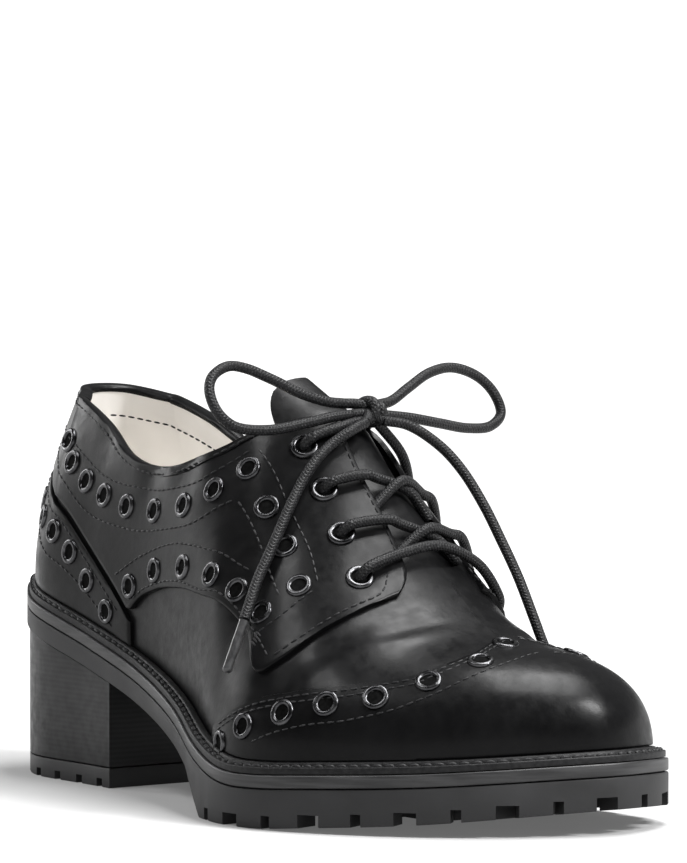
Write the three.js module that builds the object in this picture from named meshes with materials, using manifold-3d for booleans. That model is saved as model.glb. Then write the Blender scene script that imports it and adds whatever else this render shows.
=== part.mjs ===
// Right oxford shoe, derby laced, with a wing cap, a lugged rubber sole and a stacked block heel.
// Millimetres, +Z up, +X to the toe, +Y to the wearer's left.
// The origin is the middle of the heel where it stands on the floor.
import * as THREE from 'three';
import { mergeVertices } from 'three/addons/utils/BufferGeometryUtils.js';
import Module from 'manifold-3d';

const wasm = await Module();
wasm.setup();

// Driving sizes
const soleLength = 250;
const ballWidth = 102;
const seatHeight = 59.3;        // floor to the top of the midsole at the back
const platformHeight = 15;      // the same under the ball
const toeSpring = 7;            // lift of the tread at the toe
const toeTaper = 2;             // how much thinner the sole is at the toe
const instepHeight = 92;        // sole to the top of the throat
const toeHeight = 30;           // sole to the top of the toe box
const collarHeight = 63.5;      // sole to the collar at the back
const heelLength = 72;
const heelInset = 0.8;
const topLiftHeight = 6;
const slotWidth = 3.2;          // slots round the rim of the top lift
const slotHeight = 2.6;
const slotDepth = 5;
const slotPitch = 12;
const midsoleThickness = 3.6;
const bandThickness = 6;        // rubber band along the waist and over the heel
const lugDepth = 3.6;
const lugRim = 11;              // width of the lugged rim of the tread
const lugPitch = 14;
const notchNarrow = 3;
const notchWide = 6.5;
const barLength = 7;            // bars in the middle of the tread
const weltThickness = 2.2;
const weltInset = 0.8;
const lipHeight = 1.3;          // raised lip of the welt against the upper
const lipWidth = 2.4;
const ledgeHeel = 4.5;          // sole edge to upper, at the heel
const ledgeToe = 6;
const wall = 1.8;               // upper with its lining
const overlay = 1.3;            // panels sewn on the upper
const seam = 1;                 // gap between the heel strip and the quarter
const facingMargin = 1.2;       // how far the quarter reaches past the upper into the throat
const tongueThickness = 2;
const tongueGap = 0.6;          // tongue to upper
const tongueTop = 20;           // half widths of the tongue
const tongueMiddle = 26;
const insoleThickness = 2.6;
const insoleGap = 1.3;           // insole to upper
const gapTop = 8.5;             // half of the open lacing gap at the top
const gapLow = 12.5;
const eyeletSetback = 14.5;      // lace eyelets behind the edge of the facing
const eyeletOuter = 4.2;        // radii of a lace eyelet
const eyeletInner = 2.3;
const eyeletWall = 0.5;
const eyeletRim = 0.9;          // height of its flange
const laceDiameter = 3.1;
const tipDiameter = 2.8;        // hard tips of the lace
const knotLength = 8.4;
const knotWidth = 11;
const knotHeight = 8;
const fit = 0.3;                // clearance between neighbours

const heelCentre = 0.5 * heelLength;
const laceRadius = 0.5 * laceDiameter;

// Sole outline: shares of the sole length and of the ball width, from back to toe
const outlineRows = [
  { along: 0.014, lateral: -0.165, medial: 0.165 },
  { along: 0.052, lateral: -0.245, medial: 0.262 },
  { along: 0.112, lateral: -0.315, medial: 0.318 },
  { along: 0.24, lateral: -0.328, medial: 0.318 },
  { along: 0.36, lateral: -0.35, medial: 0.3 },
  { along: 0.48, lateral: -0.42, medial: 0.312 },
  { along: 0.58, lateral: -0.512, medial: 0.375 },
  { along: 0.67, lateral: -0.56, medial: 0.445 },
  { along: 0.76, lateral: -0.515, medial: 0.49 },
  { along: 0.84, lateral: -0.405, medial: 0.5 },
  { along: 0.908, lateral: -0.268, medial: 0.49 },
  { along: 0.962, lateral: -0.095, medial: 0.43 },
];
const toeTip = { along: 1.005, across: 0.19 };

// Side line of the sole: share of the heel's rise and of the toe's lift
const soleRows = [
  { along: 0, rise: 1, lift: 0 },
  { along: 0.12, rise: 0.856, lift: 0 },
  { along: 0.24, rise: 0.682, lift: 0 },
  { along: 0.36, rise: 0.497, lift: 0 },
  { along: 0.46, rise: 0.332, lift: 0 },
  { along: 0.54, rise: 0.178, lift: 0 },
  { along: 0.61, rise: 0.059, lift: 0 },
  { along: 0.68, rise: 0, lift: 0 },
  { along: 0.71, rise: 0, lift: 0 },
  { along: 0.78, rise: 0, lift: 0.18 },
  { along: 0.9, rise: 0, lift: 0.52 },
  { along: 1, rise: 0, lift: 1 },
];

// Ridge of the last above the sole: shares of the instep height and of the toe height
const ridgeRows = [
  { along: 0.13, instep: 1.02, toe: 0, across: 0 },
  { along: 0.3, instep: 1.075, toe: 0, across: 0.0147 },
  { along: 0.42, instep: 1.078, toe: 0, across: 0.055 },
  { along: 0.5, instep: 1.03, toe: 0, across: 0.09 },
  { along: 0.55, instep: 1, toe: 0, across: 0.108 },
  { along: 0.6, instep: 0.888, toe: 0, across: 0.118 },
  { along: 0.66, instep: 0.735, toe: 0, across: 0.128 },
  { along: 0.7, instep: 0.52, toe: 0.27, across: 0.13 },
  { along: 0.74, instep: 0.33, toe: 0.53, across: 0.132 },
  { along: 0.79, instep: 0.14, toe: 0.82, across: 0.137 },
  { along: 0.84, instep: 0.04, toe: 0.97, across: 0.145 },
  { along: 0.88, instep: 0, toe: 1, across: 0.149 },
  { along: 0.95, instep: 0, toe: 0.74, across: 0.158 },
];

// Collar line above the sole: shares of the collar height and of the instep height
const collarRows = [
  { along: 0.08, back: 1, instep: 0 },
  { along: 0.144, back: 0.992, instep: 0 },
  { along: 0.214, back: 0.961, instep: 0 },
  { along: 0.28, back: 0.899, instep: 0 },
  { along: 0.32, back: 0.902, instep: 0 },
  { along: 0.36, back: 0.934, instep: 0 },
  { along: 0.4, back: 0.9, instep: 0.063 },
  { along: 0.44, back: 0.72, instep: 0.248 },
  { along: 0.48, back: 0.5, instep: 0.476 },
  { along: 0.504, back: 0.35, instep: 0.644 },
  { along: 0.532, back: 0.15, instep: 0.846 },
  { along: 0.564, back: 0, instep: 0.995 },
];

// Sections of the last. place: -1 straight back, 0 heel centre, 1 toe centre, 2 straight ahead.
// bulge and shoulder are shares of the half width, wall is a share of the height.
const lateralRows = [
  { place: -1, bulge: 1.13, wall: 0.36, shoulder: 0.06 },
  { place: 0, bulge: 1.14, wall: 0.36, shoulder: 0.22 },
  { place: 0.3, bulge: 1.08, wall: 0.5, shoulder: 0.62 },
  { place: 0.5, bulge: 1.04, wall: 0.58, shoulder: 0.6 },
  { place: 0.64, bulge: 1.03, wall: 0.5, shoulder: 0.35 },
  { place: 0.75, bulge: 1.05, wall: 0.5, shoulder: 0.42 },
  { place: 0.88, bulge: 1.05, wall: 0.62, shoulder: 0.62 },
  { place: 1, bulge: 1.05, wall: 0.66, shoulder: 0.62 },
  { place: 2, bulge: 1.06, wall: 0.66, shoulder: 0.6 },
];
const medialRows = [
  { place: -1, bulge: 1.13, wall: 0.36, shoulder: 0.06 },
  { place: 0, bulge: 1.14, wall: 0.36, shoulder: 0.22 },
  { place: 0.3, bulge: 1.08, wall: 0.5, shoulder: 0.62 },
  { place: 0.5, bulge: 1.04, wall: 0.6, shoulder: 0.55 },
  { place: 0.64, bulge: 1.05, wall: 0.58, shoulder: 0.45 },
  { place: 0.75, bulge: 1.06, wall: 0.6, shoulder: 0.5 },
  { place: 0.88, bulge: 1.06, wall: 0.66, shoulder: 0.62 },
  { place: 1, bulge: 1.05, wall: 0.66, shoulder: 0.62 },
  { place: 2, bulge: 1.06, wall: 0.66, shoulder: 0.6 },
];
const heelFan = 0.13 * soleLength;
const toeFan = 0.86 * soleLength;
const alongAt = (place) => heelFan + (toeFan - heelFan) * place;

// Edges of the panels: place round the last, up as a share of the section
const counterRows = [
  { place: -1, up: 0.34 },
  { place: -0.5, up: 0.325 },
  { place: -0.12, up: 0.297 },
  { place: 0.03, up: 0.256 },
  { place: 0.12, up: 0.187 },
  { place: 0.244, up: 0.089 },
  { place: 0.27, up: 0.066 },
];
const quarterRows = [
  { place: 0.256, up: 0.09 },
  { place: 0.291, up: 0.13 },
  { place: 0.348, up: 0.166 },
  { place: 0.425, up: 0.196 },
  { place: 0.522, up: 0.239 },
  { place: 0.626, up: 0.303 },
  { place: 0.672, up: 0.318 },
  { place: 0.754, up: 0.314 },
  { place: 0.786, up: 0.465 },
  { place: 0.806, up: 0.65 },
  { place: 0.812, up: 0.76 },
];
const facingCorner = { place: 0.775, up: 0.79 };
const throatStart = 0.56;
const throatEnd = 0.785;
const throatRound = 0.07;
// Wing cap: where each line starts at the welt, and where its upper end lies
const wingRows = [
  { foot: 0.64, place: 0.645, up: 0.06 },
  { foot: 0.7, place: 0.712, up: 0.149 },
  { foot: 0.78, place: 0.781, up: 0.247 },
  { foot: 0.86, place: 0.851, up: 0.326 },
  { foot: 0.94, place: 0.911, up: 0.417 },
  { foot: 1.0, place: 0.955, up: 0.5 },
  { foot: 1.16, place: 0.976, up: 0.6 },
  { foot: 1.33, place: 0.984, up: 0.7 },
  { foot: 1.5, place: 0.98, up: 0.8 },
  { foot: 1.66, place: 0.965, up: 0.88 },
  { foot: 1.83, place: 0.947, up: 0.95 },
  { foot: 2, place: 0.932, up: 1 },
];
// Lace eyelets from the top: place round the last, distance behind the facing's edge
const eyeletRows = [
  { place: 0.586, behind: 0.947 },
  { place: 0.64, behind: 0.939 },
  { place: 0.703, behind: 1.042 },
  { place: 0.765, behind: 1.084 },
];

// Routes of the loose lace, in millimetres from the heel's centre: two loops and two ends
const outerLoop = [
  [103.4, 5, 116.6], [102.6, -0.6, 117.2], [100.8, -8.8, 119.7], [98, -17.5, 124], [96, -25.3, 127.2],
  [95.5, -31, 127.8], [96.5, -37.1, 124.9], [98, -39.2, 121], [100.5, -38.2, 115], [102, -33.3, 110.7],
  [104, -23.3, 109.4], [105.6, -9.3, 111.4], [106.2, -1, 112.9], [106.6, 4.8, 113.4],
];
const innerLoop = [
  [104.4, 16.5, 116.1], [104, 21.4, 117], [103.4, 28.4, 120.9], [102.2, 37, 125.1], [101.4, 46, 126.5],
  [101, 56, 123.6], [101.6, 61.8, 118.4], [103, 63.2, 112.6], [104.2, 58.6, 109], [105.4, 49, 108.5],
  [106.6, 37.6, 110.2], [107.2, 26, 112.1], [107.4, 16.6, 113.1],
];
const outerEnd = [
  [110.4, 7.6, 111.3], [111.6, 0.8, 108.7], [110.9, -4.8, 105.4], [111.6, -10.2, 101.6],
  [112, -14.3, 97.4], [112.2, -17.6, 93], [113.6, -22.5, 86.5], [115, -27.2, 79.8],
  [116.3, -31.5, 73.7], [117.4, -35.7, 67.7], [119, -39.4, 61.8], [120.3, -42.4, 56.6],
];
const outerTip = [[120.4, -42.7, 56.1], [121.4, -46.4, 49.3], [122.2, -50, 42.2]];
const innerEnd = [
  [109.8, 14.4, 111.6], [112.4, 21.6, 110.1], [116.6, 30, 104], [121.3, 34.5, 97], [127.2, 38, 86.9],
  [132.8, 40, 77], [139.8, 41, 66.3], [145.9, 41.8, 55.1], [150.2, 43, 45.8], [152.4, 45.4, 39.6],
];
const innerTip = [[152.6, 45.6, 39.1], [154.4, 49.2, 31.8], [156, 53, 24.6]];
const knotCentre = [106, 11, 114.4];

// Smooth value of one column of a table
function along(rows, key, x, by = 'along') {
  const last = rows.length - 1;
  const slope = (i) => (rows[i + 1][key] - rows[i][key]) / (rows[i + 1][by] - rows[i][by]);
  if (x <= rows[0][by]) return rows[0][key] + slope(0) * (x - rows[0][by]);
  if (x >= rows[last][by]) return rows[last][key] + slope(last - 1) * (x - rows[last][by]);
  let i = 0;
  while (x > rows[i + 1][by]) i += 1;
  const tangent = (k) => {
    if (k === 0) return slope(0);
    if (k === last) return slope(last - 1);
    const before = rows[k][by] - rows[k - 1][by];
    const after = rows[k + 1][by] - rows[k][by];
    return (slope(k - 1) * after + slope(k) * before) / (before + after);
  };
  const h = rows[i + 1][by] - rows[i][by];
  const u = (x - rows[i][by]) / h;
  return (2 * u ** 3 - 3 * u * u + 1) * rows[i][key] + (u ** 3 - 2 * u * u + u) * h * tangent(i)
    + (3 * u * u - 2 * u ** 3) * rows[i + 1][key] + (u ** 3 - u * u) * h * tangent(i + 1);
}

const lift = (x) => along(soleRows, 'lift', x / soleLength);
const soleTop = (x) => platformHeight + along(soleRows, 'rise', x / soleLength)
  * (seatHeight - platformHeight) + lift(x) * (toeSpring - toeTaper);
const treadBottom = (x) => lift(x) * toeSpring;
const ridgeAcross = (x) => along(ridgeRows, 'across', x / soleLength) * ballWidth;
const ridgeTop = (x) => soleTop(x) + along(ridgeRows, 'instep', x / soleLength) * instepHeight
  + along(ridgeRows, 'toe', x / soleLength) * toeHeight;
const collarTop = (x) => soleTop(x) + along(collarRows, 'back', x / soleLength) * collarHeight
  + along(collarRows, 'instep', x / soleLength) * instepHeight;

// Plan outline of the sole, and the line of the upper inside it
function outlinePoints(count) {
  const points = [new THREE.Vector3(0, 0, 0)];
  for (const r of outlineRows) {
    points.push(new THREE.Vector3(r.along * soleLength, r.lateral * ballWidth, 0));
  }
  points.push(new THREE.Vector3(toeTip.along * soleLength, toeTip.across * ballWidth, 0));
  for (const r of [...outlineRows].reverse()) {
    points.push(new THREE.Vector3(r.along * soleLength, r.medial * ballWidth, 0));
  }
  const curve = new THREE.CatmullRomCurve3(points, true, 'centripetal');
  return curve.getSpacedPoints(count).slice(0, count);
}

function inset(points, amount) {
  const n = points.length;
  return points.map((p, i) => {
    const t = points[(i + 1) % n].clone().sub(points[(i + n - 1) % n]).normalize();
    const d = amount(p.x);
    return new THREE.Vector3(p.x - t.y * d, p.y + t.x * d, 0);
  });
}

const waist = { back: 0.24, front: 0.68 };
const ledge = (x) => THREE.MathUtils.mapLinear(
  THREE.MathUtils.clamp(x / soleLength, waist.back, waist.front),
  waist.back, waist.front, ledgeHeel, ledgeToe);
const upperLine = inset(outlinePoints(360), ledge);

// Distance from a point inside the upper's line to that line
function edgeDistance(centre, dir) {
  let best = 0;
  for (let i = 0; i < upperLine.length; i += 1) {
    const a = upperLine[i];
    const b = upperLine[(i + 1) % upperLine.length];
    const ex = b.x - a.x;
    const ey = b.y - a.y;
    const det = dir.x * ey - dir.y * ex;
    const wx = a.x - centre.x;
    const wy = a.y - centre.y;
    const t = (wx * ey - wy * ex) / det;
    const s = (wx * dir.y - wy * dir.x) / det;
    if (t > best && s >= -1e-6 && s <= 1 + 1e-6) best = t;
  }
  return best;
}

// One section of the last: side is -1 for lateral, 1 for medial
const sections = new Map();
function section(place, side) {
  const key = `${place.toFixed(5)}/${side}`;
  if (sections.has(key)) return sections.get(key);
  const x = alongAt(THREE.MathUtils.clamp(place, 0, 1));
  const turn = (place - THREE.MathUtils.clamp(place, 0, 1)) * Math.PI / 2;
  const dir = new THREE.Vector2(Math.sin(turn), side * Math.cos(turn));
  const centre = new THREE.Vector2(x, ridgeAcross(x));
  const reach = edgeDistance(centre, dir);
  const foot = soleTop(centre.x + dir.x * reach) + fit;
  const top = ridgeTop(x);
  const slope = place > 1 ? (ridgeTop(x + 0.1) - top) / 0.1 * dir.x : 0;
  const rows = side < 0 ? lateralRows : medialRows;
  const bulge = along(rows, 'bulge', place, 'place');
  const rise = along(rows, 'wall', place, 'place');
  const shoulder = along(rows, 'shoulder', place, 'place') * reach;
  const curve = new THREE.CubicBezierCurve(
    new THREE.Vector2(reach, foot),
    new THREE.Vector2(reach * bulge, foot + rise * (top - foot)),
    new THREE.Vector2(shoulder, top + slope * shoulder),
    new THREE.Vector2(0, top));
  const result = { centre, dir, curve };
  sections.set(key, result);
  return result;
}

function lastPoint(place, side, up) {
  const s = section(place, side);
  const q = s.curve.getPoint(up);
  return new THREE.Vector3(s.centre.x + s.dir.x * q.x, s.centre.y + s.dir.y * q.x, q.y);
}

function lastNormal(place, side, up) {
  const step = 0.004;
  if (up > 1 - step) {
    const x = section(place, side).centre.x;
    const slope = (ridgeTop(x + 1) - ridgeTop(x - 1)) / 2;
    return new THREE.Vector3(-slope, 0, 1).normalize();
  }
  const before = lastPoint(Math.max(-1, place - step), side, up);
  const after = lastPoint(Math.min(2, place + step), side, up);
  const below = lastPoint(place, side, Math.max(0, up - step));
  const above = lastPoint(place, side, Math.min(1, up + step));
  const n = after.sub(before).cross(above.sub(below)).multiplyScalar(-side);
  if (place === -1 || place === 2) n.y = 0;
  return n.normalize();
}

function onLast(place, side, up, out) {
  return lastPoint(place, side, up).addScaledVector(lastNormal(place, side, up), out);
}

// Every section is drawn through the same few points, so that all the skins stay parallel
const gridUps = [0, 0.1, 0.21, 0.33, 0.46, 0.59, 0.71, 0.82, 0.91, 1];
function skinPoint(place, side, up, out) {
  let i = 0;
  while (i < gridUps.length - 2 && up > gridUps[i + 1]) i += 1;
  const share = (up - gridUps[i]) / (gridUps[i + 1] - gridUps[i]);
  return onLast(place, side, gridUps[i], out).lerp(onLast(place, side, gridUps[i + 1], out), share);
}

// Share of a section where a test first turns positive
function upWhere(place, side, test) {
  let low = 0;
  let high = 1;
  for (let i = 0; i < 30; i += 1) {
    const mid = (low + high) / 2;
    if (test(lastPoint(place, side, mid), section(place, side)) > 0) high = mid;
    else low = mid;
  }
  return (low + high) / 2;
}
const upAtWelt = (place, side) => upWhere(place, side,
  (p) => p.z - soleTop(p.x) - weltThickness - lipHeight - fit);
const upAtCollar = (place, side) => upWhere(place, side, (p) => p.z - collarTop(p.x));
const upBeside = (place, side, distance) => upWhere(place, side,
  (p, s) => distance - Math.abs(p.y - s.centre.y));

function halfGap(place) {
  const share = (place - throatStart) / (throatEnd - throatStart);
  return gapTop + (gapLow - gapTop) * THREE.MathUtils.clamp(share, 0, 1);
}

// Closed solid from a grid on the last: columns of { place, side, up } from low to high
function thicken(columns, inner, outer, ring) {
  const points = [];
  const index = new Map();
  const add = (c) => {
    const p = lastPoint(c.place, c.side, c.up);
    const key = `${p.x.toFixed(3)},${p.y.toFixed(3)},${p.z.toFixed(3)}`;
    if (!index.has(key)) {
      index.set(key, points.length);
      points.push(c);
    }
    return index.get(key);
  };
  const grid = columns.map((cells) => cells.map(add));
  const faces = [];
  const count = ring ? grid.length : grid.length - 1;
  for (let i = 0; i < count; i += 1) {
    const a = grid[i];
    const b = grid[(i + 1) % grid.length];
    for (let j = 0; j < a.length - 1; j += 1) {
      for (const f of [[a[j], b[j], b[j + 1]], [a[j], b[j + 1], a[j + 1]]]) {
        if (f[0] !== f[1] && f[1] !== f[2] && f[2] !== f[0]) faces.push(f);
      }
    }
  }
  const edges = new Map();
  for (const f of faces) {
    for (let k = 0; k < 3; k += 1) {
      const next = f[(k + 1) % 3];
      edges.set(`${f[k]},${next}`, [f[k], next]);
    }
  }
  const n = points.length;
  const all = [];
  for (const f of faces) all.push(f, [f[2] + n, f[1] + n, f[0] + n]);
  for (const [a, b] of edges.values()) {
    if (!edges.has(`${b},${a}`)) all.push([b, a, a + n], [b, a + n, b + n]);
  }
  const position = [];
  for (const out of [outer, inner]) {
    for (const c of points) {
      const q = skinPoint(c.place, c.side, c.up, out);
      position.push(q.x, q.y, q.z);
    }
  }
  return solidFrom(position, all.flat());
}

function solidFrom(position, triangles) {
  return new wasm.Manifold(new wasm.Mesh({
    numProp: 3,
    vertProperties: new Float32Array(position),
    triVerts: new Uint32Array(triangles),
  }));
}

function solid(geometry) {
  const bare = geometry.clone();
  bare.deleteAttribute('normal');
  bare.deleteAttribute('uv');
  const merged = mergeVertices(bare, 1e-4);
  return solidFrom(merged.attributes.position.array, merged.index.array);
}

function geometryOf(manifold) {
  const mesh = manifold.getMesh();
  const g = new THREE.BufferGeometry();
  g.setAttribute('position', new THREE.BufferAttribute(new Float32Array(mesh.vertProperties), 3));
  g.setIndex(new THREE.BufferAttribute(new Uint32Array(mesh.triVerts), 1));
  g.computeVertexNormals();
  return g;
}

// Column of a panel from low to high in equal steps
function column(place, side, low, high, steps) {
  const cells = [];
  for (let j = 0; j <= steps; j += 1) cells.push({ place, side, up: low + (high - low) * j / steps });
  return cells;
}

// Upright prism of a closed plan line between two heights
function prism(points, bottom, top) {
  const shape = new THREE.Shape(points.map((p) => new THREE.Vector2(p.x, p.y)));
  const g = new THREE.ExtrudeGeometry(shape, { depth: top - bottom, bevelEnabled: false });
  g.translate(0, 0, bottom);
  return solid(g);
}

// Crosswise prism of a side profile, points { x, z }
function sideCut(profile) {
  const shape = new THREE.Shape(profile.map((p) => new THREE.Vector2(p.x, p.z)));
  const g = new THREE.ExtrudeGeometry(shape, { depth: 2 * ballWidth, bevelEnabled: false });
  g.rotateX(Math.PI / 2);
  g.translate(0, ballWidth, 0);
  return solid(g);
}

// Layer of the sole between two side lines
const below = -5;
const above = 2 * seatHeight;
function layer(line, bottomLine, topLine) {
  const steps = 22;
  const past = 0.02;
  const profile = [];
  for (let i = 0; i <= steps; i += 1) {
    const x = soleLength * (-past + (1 + 2 * past) * i / steps);
    profile.push({ x, z: bottomLine(x) });
  }
  for (let i = steps; i >= 0; i -= 1) {
    const x = soleLength * (-past + (1 + 2 * past) * i / steps);
    profile.push({ x, z: topLine(x) });
  }
  return prism(line, below, above).intersect(sideCut(profile));
}

function block(x0, x1, y0, y1, z0, z1) {
  const g = new THREE.BoxGeometry(x1 - x0, y1 - y0, z1 - z0);
  g.translate((x0 + x1) / 2, (y0 + y1) / 2, (z0 + z1) / 2);
  return g;
}

// Materials
const leather = new THREE.MeshStandardMaterial({ color: 0x111112, roughness: 0.34, metalness: 0 });
const rubber = new THREE.MeshStandardMaterial({ color: 0x2c2d2e, roughness: 0.62, metalness: 0 });
const edgeInk = new THREE.MeshStandardMaterial({ color: 0x3d3d3e, roughness: 0.45, metalness: 0 });
const weltInk = new THREE.MeshStandardMaterial({ color: 0x18181a, roughness: 0.7, metalness: 0 });
const stacked = new THREE.MeshStandardMaterial({ color: 0x252526, roughness: 0.45, metalness: 0 });
const lining = new THREE.MeshStandardMaterial({ color: 0xc6c1b9, roughness: 0.7, metalness: 0 });
const gunmetal = new THREE.MeshStandardMaterial({ color: 0x4a4b4e, roughness: 0.3, metalness: 1 });
const waxedCord = new THREE.MeshStandardMaterial({ color: 0x1b1b1c, roughness: 0.55, metalness: 0 });

const shoe = new THREE.Group();
const body = new THREE.Group();
body.position.x = -heelCentre;
shoe.add(body);
function place(name, manifold, material, group = body) {
  const mesh = new THREE.Mesh(geometryOf(manifold), material);
  mesh.name = name;
  group.add(mesh);
}

// Sole layers
const plan = outlinePoints(44);
const midsoleBottom = (x) => soleTop(x) - midsoleThickness;
const bandTop = (x) => midsoleBottom(x) - fit;
const bandBottom = (x) => bandTop(x) - bandThickness;
const platformFrom = 0.575 * soleLength;

function outsole() {
  const tread = (x) => Math.max(treadBottom(x), x < platformFrom ? bandBottom(x) : below);
  const inside = solid(block(platformFrom + lugRim, soleLength, -ballWidth, ballWidth, below, above));
  const hollow = layer(inset(plan, () => lugRim), () => below, (x) => treadBottom(x) + lugDepth);
  return centreLugs(notches(layer(plan, tread, bandTop).subtract(hollow.intersect(inside))));
}

// Notches cut into the rim of the tread, narrow and wide in turn
function notches(sole) {
  const rim = outlinePoints(720);
  let gone = 0;
  let next = lugPitch;
  let width = notchNarrow;
  let result = sole;
  for (let i = 1; i < rim.length; i += 1) {
    gone += rim[i].distanceTo(rim[i - 1]);
    if (rim[i].x < platformFrom + lugRim || gone < next) continue;
    const dir = rim[i].clone().sub(rim[i - 1]);
    const cut = block(-width / 2, width / 2, -fit, lugRim + fit, below, treadBottom(rim[i].x) + lugDepth);
    cut.rotateZ(Math.atan2(dir.y, dir.x));
    cut.translate(rim[i].x, rim[i].y, 0);
    result = result.subtract(solid(cut));
    width = notchNarrow + notchWide - width;
    next = gone + lugPitch;
  }
  return result;
}

// Bars of the tread's middle, one behind the other, fused to the sole
function centreLugs(sole) {
  const first = 0.645 * soleLength;
  const pitch = 0.062 * soleLength;
  const half = 0.17 * ballWidth;
  let result = sole;
  for (let i = 0; i < 5; i += 1) {
    const x = first + pitch * i;
    const mid = 0.5 * ridgeAcross(x) - 0.02 * ballWidth;
    const z = Math.max(treadBottom(x), treadBottom(x + barLength));
    result = result.add(solid(block(x, x + barLength, mid - half, mid + half, z, z + lugDepth + 1)));
  }
  return result;
}

const heelLine = inset(plan, () => heelInset);
function heelBlock() {
  const front = solid(block(below, heelLength, -ballWidth, ballWidth, topLiftHeight + fit, above));
  return layer(heelLine, () => below, (x) => bandBottom(x) - fit).intersect(front);
}

function topLift() {
  const front = solid(block(below, heelLength, -ballWidth, ballWidth, 0, topLiftHeight));
  let s = prism(heelLine, 0, topLiftHeight).intersect(front);
  for (let x = heelLength - slotPitch / 2; x > slotPitch; x -= slotPitch) {
    for (const side of [-1, 1]) {
      const edge = side * 0.31 * ballWidth;
      s = s.subtract(solid(block(
        x - slotWidth / 2, x + slotWidth / 2, edge - slotDepth, edge + slotDepth, below, slotHeight)));
    }
  }
  return s;
}

function welt() {
  const foot = gridPlaces.map((p) => onLast(p, -1, 0, fit));
  for (const p of [...gridPlaces].reverse().slice(1, -1)) foot.push(onLast(p, 1, 0, fit));
  const low = (x) => soleTop(x) + fit;
  const ring = layer(inset(plan, () => weltInset), low, (x) => soleTop(x) + weltThickness);
  const lip = layer(inset(plan, (x) => ledge(x) - fit - lipWidth), low,
    (x) => soleTop(x) + weltThickness + lipHeight);
  return ring.add(lip).subtract(prism(foot, below, above)).subtract(shell(-lipWidth, fit));
}

// Places where the upper's sections lie
const gridPlaces = [
  -1, -0.75, -0.5, -0.25, 0, 0.1, 0.2, 0.29, 0.38, 0.46, 0.53, 0.575, 0.61, 0.65, 0.69, 0.72,
  0.745, 0.765, 0.777, throatEnd, 0.82, 0.87, 0.92, 0.96, 1, 1.25, 1.5, 1.75, 2,
];

function upperHigh(p, side) {
  if (p >= throatEnd) return 1;
  const collar = upAtCollar(p, side);
  if (p < 0.5) return collar;
  const share = Math.max(0, (p - throatEnd + throatRound) / throatRound);
  const open = (halfGap(p) + facingMargin) * Math.sqrt(1 - share * share);
  return Math.min(collar, upBeside(p, side, open));
}

// Skin of the last between two offsets, from the welt up to a line or whole
function shell(inner, outer, highOf = () => 1) {
  const one = (p, side) => {
    const high = highOf(p, side);
    return gridUps.map((up) => ({ place: p, side, up: Math.min(up, high) }));
  };
  const columns = gridPlaces.map((p) => one(p, -1));
  for (const p of [...gridPlaces].reverse().slice(1, -1)) columns.push(one(p, 1));
  return thicken(columns, inner, outer, true);
}

// Panel sewn on the upper, laid on its facets
function sewn(columns) {
  return thicken(columns, -overlay / 2, fit + overlay, false).subtract(shell(-2 * wall, fit));
}

const counterEdge = (p) => along(counterRows, 'up', p, 'place');
const counterPlaces = [-1, -0.75, -0.5, -0.25, 0, 0.1, 0.17, 0.22, 0.262];

function counter() {
  const one = (p, side) => {
    const low = upAtWelt(p, side);
    return column(p, side, low, Math.max(low + 0.004, counterEdge(p)), 3);
  };
  const columns = counterPlaces.map((p) => one(p, 1)).reverse();
  for (const p of counterPlaces.slice(1)) columns.push(one(p, -1));
  return sewn(columns);
}

// Quarter: from the back seam to the facing, above the counter and the arch of its lower edge
const quarterPlaces = [
  -0.992, -0.75, -0.5, -0.25, 0, 0.1, 0.18, 0.256, 0.3, 0.38, 0.46, 0.52, 0.575, 0.62, 0.67,
  0.72, 0.754, 0.775, 0.786, 0.8, 0.812,
];
function quarterLow(p) {
  if (p < quarterRows[0].place) return counterEdge(p) + seam / seatHeight;
  return along(quarterRows, 'up', p, 'place');
}
function quarterHigh(p, side) {
  if (p < 0.5) return upAtCollar(p, side);
  const high = Math.min(upAtCollar(p, side), upBeside(p, side, halfGap(p)));
  if (p < facingCorner.place) return high;
  const front = quarterPlaces[quarterPlaces.length - 1];
  const share = (p - facingCorner.place) / (front - facingCorner.place);
  return high + (facingCorner.up - high) * share * share;
}
function quarter(side) {
  const columns = quarterPlaces.map((p) => column(p, side, quarterLow(p), quarterHigh(p, side), 5));
  return sewn(side < 0 ? columns : columns.reverse());
}

// Laid-flat pattern of the last: x along, y the length over the section from the ridge
const arcSteps = 40;
const lengths = new Map();
function arcTable(p, side) {
  const key = `${p.toFixed(5)}/${side}`;
  if (!lengths.has(key)) lengths.set(key, section(p, side).curve.getLengths(arcSteps));
  return lengths.get(key);
}
function flat(p, side, up) {
  const s = section(p, side);
  const table = arcTable(p, side);
  const i = Math.min(arcSteps - 1, Math.floor(up * arcSteps));
  const before = table[i] + (table[i + 1] - table[i]) * (up * arcSteps - i);
  const arc = table[arcSteps] - before;
  return { x: s.centre.x + s.dir.x * arc, y: s.dir.y * arc };
}
function unflat(x, y) {
  const side = y <= 0 ? -1 : 1;
  const ahead = Math.max(0, x - toeFan);
  const p = (x - ahead - heelFan) / (toeFan - heelFan) + Math.atan2(ahead, Math.abs(y)) / (Math.PI / 2);
  const table = arcTable(p, side);
  const want = table[arcSteps] - Math.hypot(ahead, y);
  let i = 0;
  while (i < arcSteps - 1 && table[i + 1] < want) i += 1;
  const up = (i + (want - table[i]) / (table[i + 1] - table[i])) / arcSteps;
  return { place: p, side, up: THREE.MathUtils.clamp(up, 0, 1) };
}

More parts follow.
